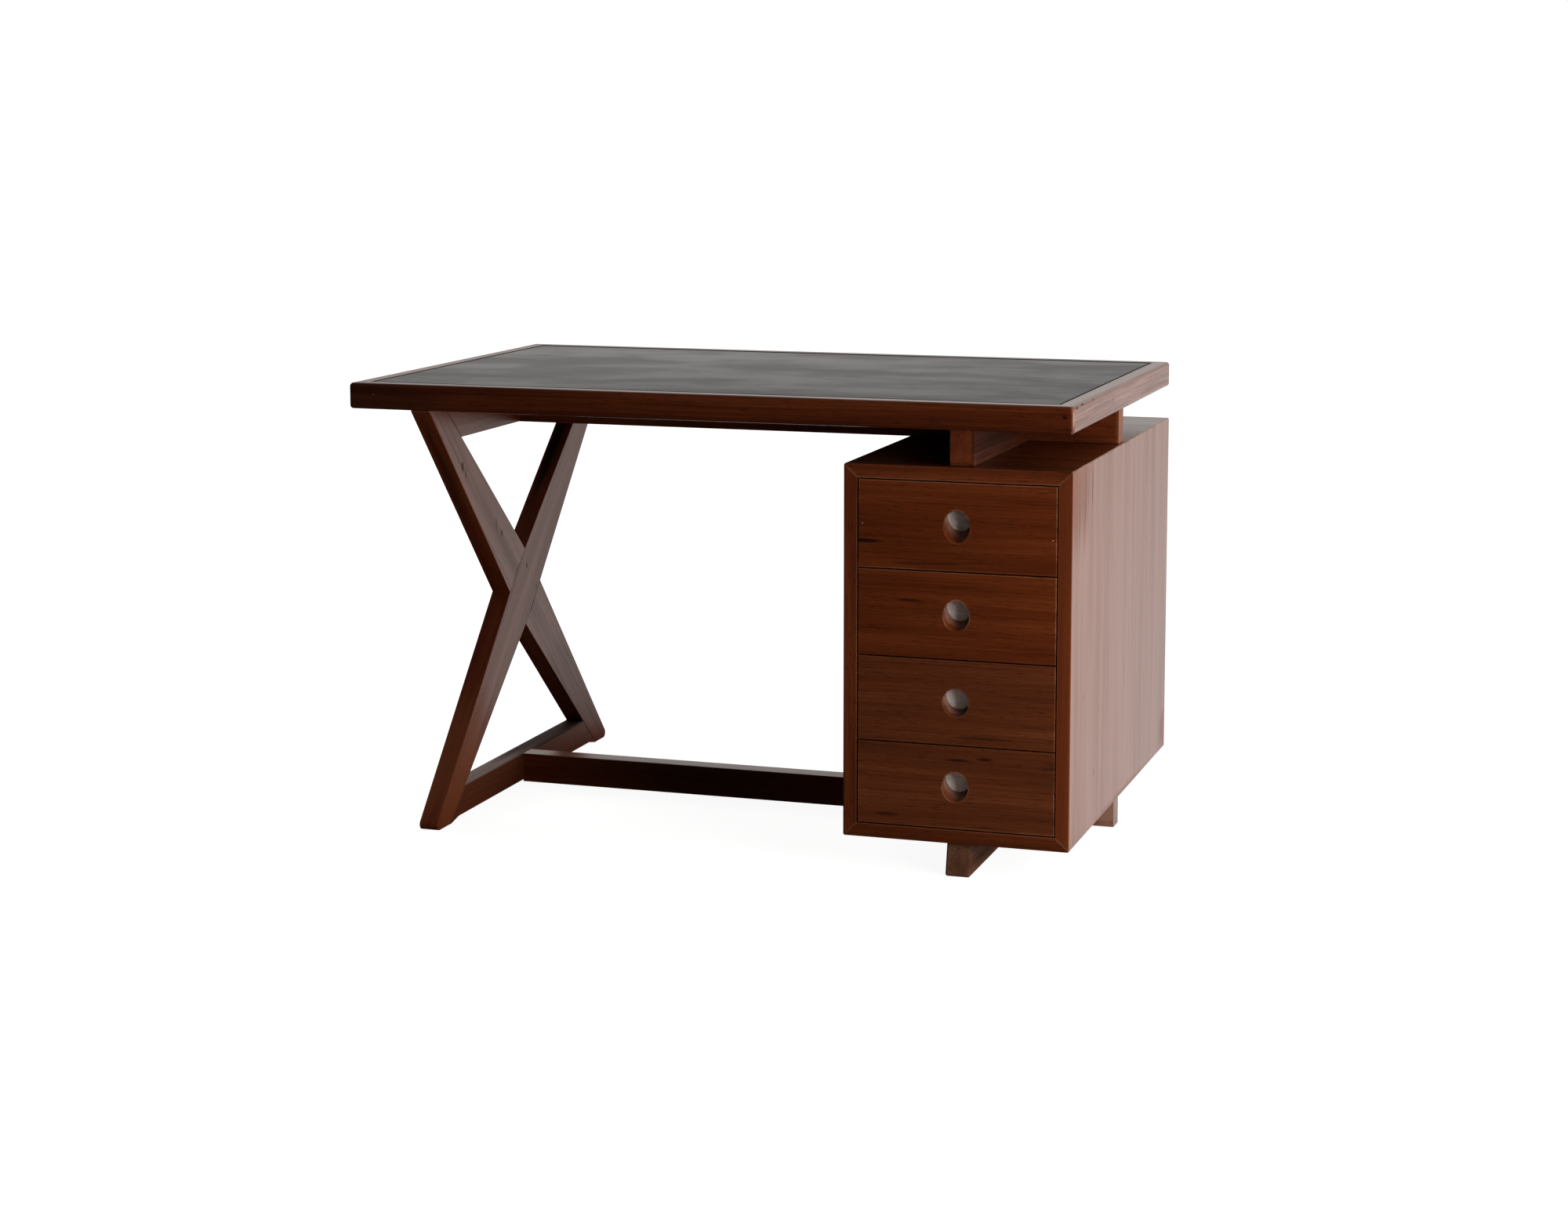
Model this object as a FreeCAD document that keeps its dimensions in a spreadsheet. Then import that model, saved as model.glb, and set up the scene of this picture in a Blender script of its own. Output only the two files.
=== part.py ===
import FreeCAD, Part
import os
import Sketcher

# Writing desk: a leather-covered top carried by a crossed-leg trestle on the left and a
# pedestal of four drawers on the right, tied together by a spine under the top and a
# stretcher at the floor. Front faces -Y, origin on the floor under the middle of the top.

# Driving dimensions, in millimetres and degrees.
SIZES = {
    # top
    "desk_width": 1220,
    "desk_depth": 790,
    "desk_height": 750,
    "top_thickness": 43,
    "lipping_width": 26,
    "lipping_corner_round": 7,
    "lipping_edge_round": 6,
    "leather_thickness": 2,
    "leather_drop": 0.5,
    "leather_margin": 0.8,
    # trestle
    "trestle_inset": 110,
    "trestle_thickness": 34,
    "foot_inset": 2,
    "foot_round": 9,
    "leg_end_length": 63,
    "crossing_half_depth": 69,
    "crossing_half_height": 68.5,
    "rail_lift": 6,
    "rail_ramp": 30,
    "arris_round": 1.5,
    # beams
    "upper_beam_height": 57,
    "lower_beam_height": 54,
    "long_beam_width": 36,
    "long_beam_setback": 7,
    "stretcher_lift": 3,
    "cross_beam_width": 40,
    "cross_beam_shift": 4,
    "bearer_setback": 15,
    "foot_beam_setback": 2,
    "foot_beam_rake": 12,
    "foot_beam_round": 4,
    # joints
    "tenon_thickness": 12,
    "tenon_length": 20,
    "tenon_shoulder": 8,
    "joint_clearance": 0.3,
    # pedestal
    "pedestal_width": 366,
    "carcass_thickness": 22,
    "carcass_corner_round": 3,
    "carcass_edge_round": 1.5,
    "back_thickness": 12,
    "back_recess": 3,
    "runner_height": 14,
    "runner_width": 18,
    # drawers, first row at the top
    "row_grade": 2.5,
    "front_gap": 2,
    "front_thickness": 25,
    "front_round": 1,
    "front_lap": 12,
    "drawer_side_thickness": 14,
    "drawer_headroom": 4,
    "drawer_back_thickness": 12,
    "drawer_back_drop": 10,
    "drawer_bottom_thickness": 5,
    "drawer_bottom_rise": 7,
    "groove_depth": 6,
    "stop_gap": 1,
    "bore_diameter": 42,
    "slant_one": 35,
    "slant_two": 29,
    "slant_three": 20,
    "slant_four": 27,
    "plate_margin": 8,
    "plate_thickness": 1.5,
}

doc = FreeCAD.newDocument("Desk")
dims = doc.addObject("Spreadsheet::Sheet", "dims")
for row, (name, size) in enumerate(SIZES.items(), start=1):
    dims.set(f"A{row}", name)
    dims.set(f"B{row}", str(size))
    dims.setAlias(f"B{row}", name)
doc.recompute()

# Levels and places that follow from the driving dimensions.
RIGHT = "(dims.desk_width / 2)"
BACK = "(dims.desk_depth / 2)"
UNDERSIDE = "(dims.desk_height - dims.top_thickness)"
LEATHER_SEAT = "(dims.desk_height - dims.leather_drop - dims.leather_thickness)"
FIELD_WIDTH = "(dims.desk_width - 2 * dims.lipping_width)"
FIELD_DEPTH = "(dims.desk_depth - 2 * dims.lipping_width)"

TRESTLE_LEFT = f"(dims.trestle_inset - {RIGHT})"
TRESTLE_FACE = f"({TRESTLE_LEFT} + dims.trestle_thickness)"
CROSSING = f"({UNDERSIDE} / 2)"
REACH = f"({BACK} - dims.foot_inset)"
INSIDE = f"({REACH} - dims.leg_end_length)"
SPREAD = f"({INSIDE} / ({CROSSING} - dims.crossing_half_height))"

PEDESTAL_TOP = f"({UNDERSIDE} - dims.upper_beam_height)"
PEDESTAL_BOTTOM = "dims.lower_beam_height"
PEDESTAL_HEIGHT = f"({PEDESTAL_TOP} - {PEDESTAL_BOTTOM})"
PEDESTAL_CENTRE = f"({RIGHT} - dims.pedestal_width / 2)"
UPPER_LAP = f"(({PEDESTAL_TOP} + {UNDERSIDE}) / 2)"
LOWER_LAP = f"((dims.stretcher_lift + {PEDESTAL_BOTTOM}) / 2)"
CROSS_BEAM_LEFT = f"({PEDESTAL_CENTRE} + dims.cross_beam_shift - dims.cross_beam_width / 2)"

OPENING_WIDTH = "(dims.pedestal_width - 2 * dims.carcass_thickness)"
OPENING_HEIGHT = f"({PEDESTAL_HEIGHT} - 2 * dims.carcass_thickness)"
OPENING_BOTTOM = f"({PEDESTAL_BOTTOM} + dims.carcass_thickness)"
OPENING_LEFT = f"({PEDESTAL_CENTRE} - {OPENING_WIDTH} / 2)"
BACK_PANEL_FACE = f"({BACK} - dims.back_recess - dims.back_thickness)"
DRAWER_WIDTH = f"({OPENING_WIDTH} - 2 * dims.front_gap)"
DRAWER_INSIDE = f"({DRAWER_WIDTH} - 2 * dims.drawer_side_thickness)"
FRONT_BACK = f"(dims.front_thickness - {BACK})"
DRAWER_END = f"({BACK_PANEL_FACE} - dims.stop_gap)"

nodes = []


def value(expression):
    """Number that an expression of the sheet comes to."""
    return float(dims.evalExpression(expression))


def place(piece, x="0", y="0", z="0"):
    """Ties a piece's position to three expressions and keeps it as a sub-part."""
    piece.Label = piece.Name
    for axis, distance in zip("xyz", (x, y, z)):
        piece.setExpression(f"Placement.Base.{axis}", distance)
    nodes.append(piece)
    return piece


def board(node, corner, size):
    """Square-edged board from its lowest corner and its three sizes."""
    box = doc.addObject("Part::Box", node)
    for side, length in zip(("Length", "Width", "Height"), size):
        box.setExpression(side, length)
    return place(box, *corner)


def new_body(node, x="0", y="0", z="0"):
    """Empty body at a place."""
    return place(doc.addObject("PartDesign::Body", node), x, y, z)


def origin_plane(body, role):
    """One of the body's own three origin planes."""
    return next(plane for plane in body.Origin.OriginFeatures if plane.Role == role)


def sketch_on(body, name, support, offset="0"):
    """Sketch on a plane of the body, moved along the plane's normal by an offset."""
    sketch = body.newObject("Sketcher::SketchObject", name)
    sketch.AttachmentSupport = [(support, "")]
    sketch.MapMode = "FlatFace"
    sketch.setExpression("AttachmentOffset.Base.z", offset)
    return sketch


def outline(sketch, corners):
    """Closed straight-sided outline whose corners are tied to pairs of expressions."""
    points = [FreeCAD.Vector(value(u), value(v), 0) for u, v in corners]
    first = sketch.GeometryCount
    count = len(points)
    for i in range(count):
        sketch.addGeometry(Part.LineSegment(points[i], points[(i + 1) % count]))
    for i in range(count):
        following = first + (i + 1) % count
        sketch.addConstraint(Sketcher.Constraint("Coincident", first + i, 2, following, 1))
    for i, corner in enumerate(corners):
        for kind, distance in zip(("DistanceX", "DistanceY"), corner):
            rule = Sketcher.Constraint(kind, -1, 1, first + i, 1, value(distance))
            number = sketch.addConstraint(rule)
            sketch.setExpression(f"Constraints[{number}]", distance)
    return sketch


def rectangle(left, bottom, right, top):
    """Four corners of an upright rectangle."""
    return [(left, bottom), (right, bottom), (right, top), (left, top)]


def centred_rectangle(width, height):
    """Four corners of a rectangle about the sketch's origin."""
    return rectangle(f"-{width} / 2", f"-{height} / 2", f"{width} / 2", f"{height} / 2")


def pad(body, sketch, length, backwards=False):
    """Material over a sketch, on the side of its normal unless backwards."""
    feature = body.newObject("PartDesign::Pad", f"{sketch.Name}_pad")
    feature.Profile = sketch
    feature.Reversed = backwards
    feature.setExpression("Length", length)
    doc.recompute()
    return feature


def pocket(body, sketch, length=None, forwards=False):
    """Cut under a sketch: right through both ways, or to a length on one side."""
    before = body.Shape.Volume
    feature = body.newObject("PartDesign::Pocket", f"{sketch.Name}_pocket")
    feature.Profile = sketch
    if length is None:
        feature.Type = "ThroughAll"
        feature.Midplane = True
    else:
        feature.Reversed = forwards
        feature.setExpression("Length", length)
    doc.recompute()
    if body.Shape.Volume > before - 1:
        raise RuntimeError(f"{feature.Name} cuts nothing")
    return feature


def soften(body, radius, wanted):
    """Rounds the edges of the body that a test picks."""
    base = body.Tip
    picked = [f"Edge{i}" for i, edge in enumerate(base.Shape.Edges, start=1) if wanted(edge)]
    feature = body.newObject("PartDesign::Fillet", f"{body.Name}_round")
    feature.Base = (base, picked)
    feature.setExpression("Radius", radius)
    doc.recompute()
    return feature


def runs_along(edge, axis):
    """True if a straight edge runs along an axis."""
    direction = edge.tangentAt(edge.FirstParameter)
    return abs(abs(direction.dot(axis)) - 1) < 1e-6


def near(a, b):
    """True if two lengths agree to a hundredth of a millimetre."""
    return abs(a - b) < 0.01


X_AXIS = FreeCAD.Vector(1, 0, 0)
Y_AXIS = FreeCAD.Vector(0, 1, 0)
Z_AXIS = FreeCAD.Vector(0, 0, 1)


def mitred_member(node, role, width, height, wall, length, rounds, turn, corner):
    """One side of a mitred frame. The frame is drawn whole about its centre, rounded at its
    outer corners and edges, and cut back along two mitres to its lower side, which is then
    turned about the frame's normal to its own side."""
    corner_round, edge_round = rounds
    body = new_body(node, *corner)
    support = origin_plane(body, role)
    normal = Z_AXIS if role == "XY_Plane" else -Y_AXIS
    ring = sketch_on(body, f"{node}_ring", support)
    outline(ring, centred_rectangle(width, height))
    outline(ring, centred_rectangle(f"({width} - 2 * {wall})", f"({height} - 2 * {wall})"))
    pad(body, ring, length)
    half_width = value(f"{width} / 2")
    half_height = value(f"{height} / 2")
    across = normal.cross(X_AXIS)

    def at_outside(edge):
        middle = edge.CenterOfMass
        reach = max(abs(middle.x) - half_width, abs(middle.dot(across)) - half_height)
        return reach > -value(corner_round)

    soften(body, corner_round, lambda e: runs_along(e, normal) and at_outside(e))
    ends = (0, value(length))
    soften(
        body,
        edge_round,
        lambda e: at_outside(e) and any(near(e.CenterOfMass.dot(normal), end) for end in ends),
    )
    over = f"(2 * {wall})"
    keep = sketch_on(body, f"{node}_mitres", support)
    left = f"(-{width} / 2)"
    right = f"({width} / 2)"
    low = f"(-{height} / 2)"
    outline(
        keep,
        [
            (f"{left} - {wall}", f"{low} - {wall}"),
            (f"{left} + {over}", f"{low} + {over}"),
            (f"{right} - {over}", f"{low} + {over}"),
            (f"{right} + {wall}", f"{low} - {wall}"),
            (f"{right} + {wall}", f"{height} / 2 + {wall}"),
            (f"{left} - {wall}", f"{height} / 2 + {wall}"),
        ],
    )
    pocket(body, keep)
    body.Placement.Rotation = FreeCAD.Rotation(normal, turn)
    return body


# Top: core board, four mitred lippings and the inlaid leather.
def make_top():
    field_left = f"(-{FIELD_WIDTH} / 2)"
    field_front = f"(-{FIELD_DEPTH} / 2)"
    core = (FIELD_WIDTH, FIELD_DEPTH, f"{LEATHER_SEAT} - {UNDERSIDE}")
    board("top_panel", (field_left, field_front, UNDERSIDE), core)
    margin = "dims.leather_margin"
    sheet = (f"{FIELD_WIDTH} - 2 * {margin}", f"{FIELD_DEPTH} - 2 * {margin}", "dims.leather_thickness")
    board("leather_top", (f"{field_left} + {margin}", f"{field_front} + {margin}", LEATHER_SEAT), sheet)
    sides = (
        ("lipping_front", "dims.desk_width", "dims.desk_depth", 0),
        ("lipping_right", "dims.desk_depth", "dims.desk_width", 90),
        ("lipping_back", "dims.desk_width", "dims.desk_depth", 180),
        ("lipping_left", "dims.desk_depth", "dims.desk_width", 270),
    )
    rounds = ("dims.lipping_corner_round", "dims.lipping_edge_round")
    for node, width, depth, turn in sides:
        mitred_member(
            node,
            "XY_Plane",
            width,
            depth,
            "dims.lipping_width",
            "dims.top_thickness",
            rounds,
            turn,
            ("0", "0", UNDERSIDE),
        )


# Trestle: two tapered legs halved together, tied by a rail at the top and one at the floor.
def leg_outline(lean):
    """Leg from the top on one side to the floor on the other, widest where the pair cross."""
    return [
        (f"-{lean} * {REACH}", UNDERSIDE),
        (f"-{lean} * {INSIDE}", UNDERSIDE),
        ("0", f"{CROSSING} + dims.crossing_half_height"),
        (f"{lean} * dims.crossing_half_depth", CROSSING),
        (f"{lean} * {REACH}", "0"),
        (f"{lean} * {INSIDE}", "0"),
        ("0", f"{CROSSING} - dims.crossing_half_height"),
        (f"-{lean} * dims.crossing_half_depth", CROSSING),
    ]


def inside_reach(step):
    """Half the clear distance between the legs, at a step up from the floor or down from the top."""
    return f"({INSIDE} - ({step}) * {SPREAD})"


def from_floor(step):
    return f"({step})"


def from_top(step):
    return f"({UNDERSIDE} - ({step}))"


LOWER_TENON = (
    from_floor,
    "dims.rail_lift + dims.tenon_shoulder",
    "dims.lower_beam_height - dims.tenon_shoulder",
)
UPPER_TENON = (
    from_top,
    "dims.tenon_shoulder",
    "dims.upper_beam_height - dims.tenon_shoulder",
)


def tenon_outline(level, first, last, play="0"):
    """Outline through a rail and both its slanted tenons, with play all round."""
    near_step = f"({first} - {play})"
    far_step = f"({last} + {play})"
    near_reach = f"({inside_reach(near_step)} + dims.tenon_length + {play})"
    far_reach = f"({inside_reach(far_step)} + dims.tenon_length + {play})"
    return [
        (f"-{near_reach}", level(near_step)),
        (near_reach, level(near_step)),
        (far_reach, level(far_step)),
        (f"-{far_reach}", level(far_step)),
    ]


def make_leg(node, lean, lapped_inside):
    """Leg with a rounded toe, two mortises and half its thickness housed at the crossing."""
    body = new_body(node, TRESTLE_LEFT)
    side_plane = origin_plane(body, "YZ_Plane")
    side = outline(sketch_on(body, f"{node}_side", side_plane), leg_outline(lean))
    pad(body, side, "dims.trestle_thickness")
    toe = lean * value(REACH)
    soften(
        body,
        "dims.foot_round",
        lambda e: runs_along(e, X_AXIS) and near(e.CenterOfMass.y, toe) and near(e.CenterOfMass.z, 0),
    )
    half = "dims.trestle_thickness / 2"
    housing = outline(sketch_on(body, f"{node}_housing", side_plane, half), leg_outline(-lean))
    pocket(body, housing, half, forwards=lapped_inside)
    faces = (0, value("dims.trestle_thickness"))
    housed_face = faces[lapped_inside]

    def in_crossing(point):
        half_depth = value("dims.crossing_half_depth")
        half_height = value("dims.crossing_half_height")
        return abs(point.y) < half_depth and abs(point.z - value(CROSSING)) < half_height

    def is_arris(edge):
        middle = edge.CenterOfMass
        if near(middle.x, housed_face):
            return not in_crossing(middle)
        return any(near(middle.x, face) for face in faces)

    soften(body, "dims.arris_round", is_arris)
    play = "dims.joint_clearance"
    for end, (level, first, last) in (("foot", LOWER_TENON), ("head", UPPER_TENON)):
        start = f"(dims.trestle_thickness - dims.tenon_thickness) / 2 - {play}"
        mortise = sketch_on(body, f"{node}_{end}_mortise", side_plane, start)
        outline(mortise, tenon_outline(level, first, last, play))
        pocket(body, mortise, f"dims.tenon_thickness + 2 * {play}", forwards=True)


def make_rail(node, corners, tenon, beam_bottom, beam_top):
    """Rail between the legs, with a tenon at each end and a mortise for the beam that meets it."""
    body = new_body(node, TRESTLE_LEFT)
    side_plane = origin_plane(body, "YZ_Plane")
    pad(body, outline(sketch_on(body, f"{node}_side", side_plane), corners), "dims.trestle_thickness")
    soften(body, "dims.arris_round", lambda e: runs_along(e, Y_AXIS))
    start = "(dims.trestle_thickness - dims.tenon_thickness) / 2"
    tongue = sketch_on(body, f"{node}_tenons", side_plane, start)
    pad(body, outline(tongue, tenon_outline(*tenon)), "dims.tenon_thickness")
    play = "dims.joint_clearance"
    half = f"(dims.tenon_thickness / 2 + {play})"
    hole = rectangle(
        f"-{half}",
        f"{beam_bottom} + dims.tenon_shoulder - {play}",
        half,
        f"{beam_top} - dims.tenon_shoulder + {play}",
    )
    mortise = sketch_on(body, f"{node}_mortise", side_plane, "dims.trestle_thickness")
    pocket(body, outline(mortise, hole), f"dims.tenon_length + {play}")


def make_trestle():
    make_leg("leg_back_foot", 1, lapped_inside=True)
    make_leg("leg_front_foot", -1, lapped_inside=False)
    upper_low = inside_reach("dims.upper_beam_height")
    upper = [
        (f"-{upper_low}", PEDESTAL_TOP),
        (upper_low, PEDESTAL_TOP),
        (INSIDE, UNDERSIDE),
        (f"-{INSIDE}", UNDERSIDE),
    ]
    make_rail("upper_rail", upper, UPPER_TENON, PEDESTAL_TOP, UNDERSIDE)
    lower_high = inside_reach("dims.lower_beam_height")
    lower = [
        (f"-{INSIDE}", "0"),
        (f"-{INSIDE} + dims.rail_ramp", "dims.rail_lift"),
        (f"{INSIDE} - dims.rail_ramp", "dims.rail_lift"),
        (INSIDE, "0"),
        (lower_high, "dims.lower_beam_height"),
        (f"-{lower_high}", "dims.lower_beam_height"),
    ]
    make_rail("lower_rail", lower, LOWER_TENON, "dims.stretcher_lift", PEDESTAL_BOTTOM)


# Beams: spine and stretcher run along the desk and are halved over two cross beams.
def make_long_beam(node, bottom, top, lap):
    """Beam from the trestle to under or over the pedestal, tenoned into the trestle's rail."""
    body = new_body(node, TRESTLE_FACE)
    end_plane = origin_plane(body, "YZ_Plane")
    half = "dims.long_beam_width / 2"
    section = outline(sketch_on(body, f"{node}_section", end_plane), rectangle(f"-{half}", bottom, half, top))
    pad(body, section, f"{RIGHT} - dims.long_beam_setback - {TRESTLE_FACE}")
    low = value(bottom)
    soften(body, "dims.arris_round", lambda e: runs_along(e, X_AXIS) and near(e.CenterOfMass.z, low))
    left = f"{CROSS_BEAM_LEFT} - {TRESTLE_FACE} - dims.joint_clearance"
    right = f"{left} + dims.cross_beam_width + 2 * dims.joint_clearance"
    lap_plane = origin_plane(body, "XZ_Plane")
    pocket(body, outline(sketch_on(body, f"{node}_lap", lap_plane), rectangle(left, bottom, right, lap)))
    tongue_half = "dims.tenon_thickness / 2"
    tongue = rectangle(
        f"-{tongue_half}",
        f"{bottom} + dims.tenon_shoulder",
        tongue_half,
        f"{top} - dims.tenon_shoulder",
    )
    tenon = outline(sketch_on(body, f"{node}_tenon", end_plane), tongue)
    pad(body, tenon, "dims.tenon_length", backwards=True)


def make_cross_beam(node, bottom, top, lap, low_reach, high_reach, radius):
    """Beam from front to back under or over the pedestal, housed from above for the long beam."""
    body = new_body(node, CROSS_BEAM_LEFT)
    side_plane = origin_plane(body, "YZ_Plane")
    corners = [(f"-{low_reach}", bottom), (low_reach, bottom), (high_reach, top), (f"-{high_reach}", top)]
    pad(body, outline(sketch_on(body, f"{node}_side", side_plane), corners), "dims.cross_beam_width")
    faces = (0, value("dims.cross_beam_width"))
    below_top = value(top) - value("dims.arris_round")
    ends = (-value(low_reach), value(low_reach))

    def is_arris(edge):
        middle = edge.CenterOfMass
        on_side = any(near(middle.x, face) for face in faces)
        return middle.z < below_top and (on_side or any(near(middle.y, end) for end in ends))

    soften(body, radius, is_arris)
    half = "(dims.long_beam_width / 2 + dims.joint_clearance)"
    pocket(body, outline(sketch_on(body, f"{node}_lap", side_plane), rectangle(f"-{half}", lap, half, top)))


def make_beams():
    make_long_beam("spine_beam", PEDESTAL_TOP, UNDERSIDE, UPPER_LAP)
    make_long_beam("stretcher", "dims.stretcher_lift", PEDESTAL_BOTTOM, LOWER_LAP)
    bearer_reach = f"({BACK} - dims.bearer_setback)"
    make_cross_beam(
        "top_bearer",
        PEDESTAL_TOP,
        UNDERSIDE,
        UPPER_LAP,
        bearer_reach,
        bearer_reach,
        "dims.arris_round",
    )
    foot_reach = f"({BACK} - dims.foot_beam_setback)"
    foot_top_reach = f"({foot_reach} - dims.foot_beam_rake)"
    make_cross_beam(
        "foot_beam",
        "0",
        PEDESTAL_BOTTOM,
        LOWER_LAP,
        foot_reach,
        foot_top_reach,
        "dims.foot_beam_round",
    )


# Pedestal: four panels mitred into a sleeve, a back panel and a pair of runners for each drawer.
def make_carcass():
    sides = (
        ("pedestal_bottom", "dims.pedestal_width", PEDESTAL_HEIGHT, 0),
        ("pedestal_right", PEDESTAL_HEIGHT, "dims.pedestal_width", 90),
        ("pedestal_top", "dims.pedestal_width", PEDESTAL_HEIGHT, 180),
        ("pedestal_left", PEDESTAL_HEIGHT, "dims.pedestal_width", 270),
    )
    rounds = ("dims.carcass_corner_round", "dims.carcass_edge_round")
    centre = (PEDESTAL_CENTRE, BACK, f"({PEDESTAL_BOTTOM} + {PEDESTAL_HEIGHT} / 2)")
    for node, width, height, turn in sides:
        mitred_member(
            node,
            "XZ_Plane",
            width,
            height,
            "dims.carcass_thickness",
            "dims.desk_depth",
            rounds,
            turn,
            centre,
        )
    board(
        "pedestal_back",
        (OPENING_LEFT, BACK_PANEL_FACE, OPENING_BOTTOM),
        (OPENING_WIDTH, "dims.back_thickness", OPENING_HEIGHT),
    )


# Drawers: inset fronts with a slanted finger bore, closed behind by a metal plate.
SLANTS = ("dims.slant_one", "dims.slant_two", "dims.slant_three", "dims.slant_four")


def drawer_rows():
    """Number, height, lower line and bore slant of each row. The rows share the opening from the
    top down, and each is a grade lower than the one above it."""
    count = len(SLANTS)
    line = f"({OPENING_BOTTOM} + {OPENING_HEIGHT} - dims.front_gap / 2)"
    for number, slant in enumerate(SLANTS, start=1):
        grades = (count + 1) / 2 - number
        row = f"(({OPENING_HEIGHT} - dims.front_gap) / {count} + {grades} * dims.row_grade)"
        line = f"({line} - {row})"
        yield number, row, line, slant


SIDE_RISE = "(dims.runner_height + dims.joint_clearance)"
GROOVE_BOTTOM = "dims.drawer_bottom_rise"
GROOVE_TOP = "(dims.drawer_bottom_rise + dims.drawer_bottom_thickness + dims.joint_clearance)"


def make_front(number, row, line, slant):
    """Drawer front, drawn about the middle of its face."""
    node = f"drawer_{number}_front"
    height = f"({row} - dims.front_gap)"
    body = new_body(node, PEDESTAL_CENTRE, f"-{BACK}", f"{line} + {row} / 2")
    face_plane = origin_plane(body, "XZ_Plane")
    face = outline(sketch_on(body, f"{node}_face", face_plane), centred_rectangle(DRAWER_WIDTH, height))
    pad(body, face, "dims.front_thickness", backwards=True)
    soften(body, "dims.front_round", lambda e: near(e.CenterOfMass.y, 0))

    lap_plane = origin_plane(body, "XY_Plane")
    laps = sketch_on(body, f"{node}_laps", lap_plane)
    outer = f"({DRAWER_WIDTH} / 2)"
    inner = f"({outer} - dims.drawer_side_thickness)"
    lap_face = "dims.front_thickness - dims.front_lap"
    outline(laps, rectangle(inner, lap_face, outer, "dims.front_thickness"))
    outline(laps, rectangle(f"-{outer}", lap_face, f"-{inner}", "dims.front_thickness"))
    pocket(body, laps)

    groove = sketch_on(body, f"{node}_groove", origin_plane(body, "YZ_Plane"))
    side_bottom = f"({SIDE_RISE} - {row} / 2)"
    outline(
        groove,
        rectangle(
            "dims.front_thickness - dims.groove_depth",
            f"{side_bottom} + {GROOVE_BOTTOM}",
            "dims.front_thickness",
            f"{side_bottom} + {GROOVE_TOP}",
        ),
    )
    pocket(body, groove)

    seat = sketch_on(body, f"{node}_plate_seat", face_plane, "-dims.front_thickness")
    play = "dims.joint_clearance"
    outline(
        seat,
        rectangle(
            f"-{PLATE_WIDTH} / 2 - {play}",
            f"{plate_centre(slant)} - {plate_height(slant)} / 2 - {play}",
            f"{PLATE_WIDTH} / 2 + {play}",
            f"{plate_centre(slant)} + {plate_height(slant)} / 2 + {play}",
        ),
    )
    pocket(body, seat, "dims.plate_thickness", forwards=True)

    slanted = body.newObject("PartDesign::Plane", f"{node}_slant")
    slanted.AttachmentSupport = [(face_plane, "")]
    slanted.MapMode = "FlatFace"
    slanted.AttachmentOffset = FreeCAD.Placement(FreeCAD.Vector(), FreeCAD.Rotation(X_AXIS, value(slant)))
    slanted.setExpression("AttachmentOffset.Rotation.Angle", slant)
    doc.recompute()
    bore = sketch_on(body, f"{node}_bore", slanted)
    bore.addGeometry(Part.Circle(FreeCAD.Vector(), Z_AXIS, value("dims.bore_diameter / 2")))
    bore.addConstraint(Sketcher.Constraint("Coincident", 0, 3, -1, 1))
    width = bore.addConstraint(Sketcher.Constraint("Diameter", 0, value("dims.bore_diameter")))
    bore.setExpression(f"Constraints[{width}]", "dims.bore_diameter")
    pocket(body, bore)


PLATE_WIDTH = "(dims.bore_diameter + 2 * dims.plate_margin)"


def plate_height(slant):
    """Height of a plate that covers the slanted bore with a margin all round."""
    return f"(dims.bore_diameter / cos({slant}) + 2 * dims.plate_margin)"


def plate_centre(slant):
    """Height of the bore's middle where it leaves the back of the front."""
    return f"(dims.front_thickness * tan({slant}))"


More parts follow.
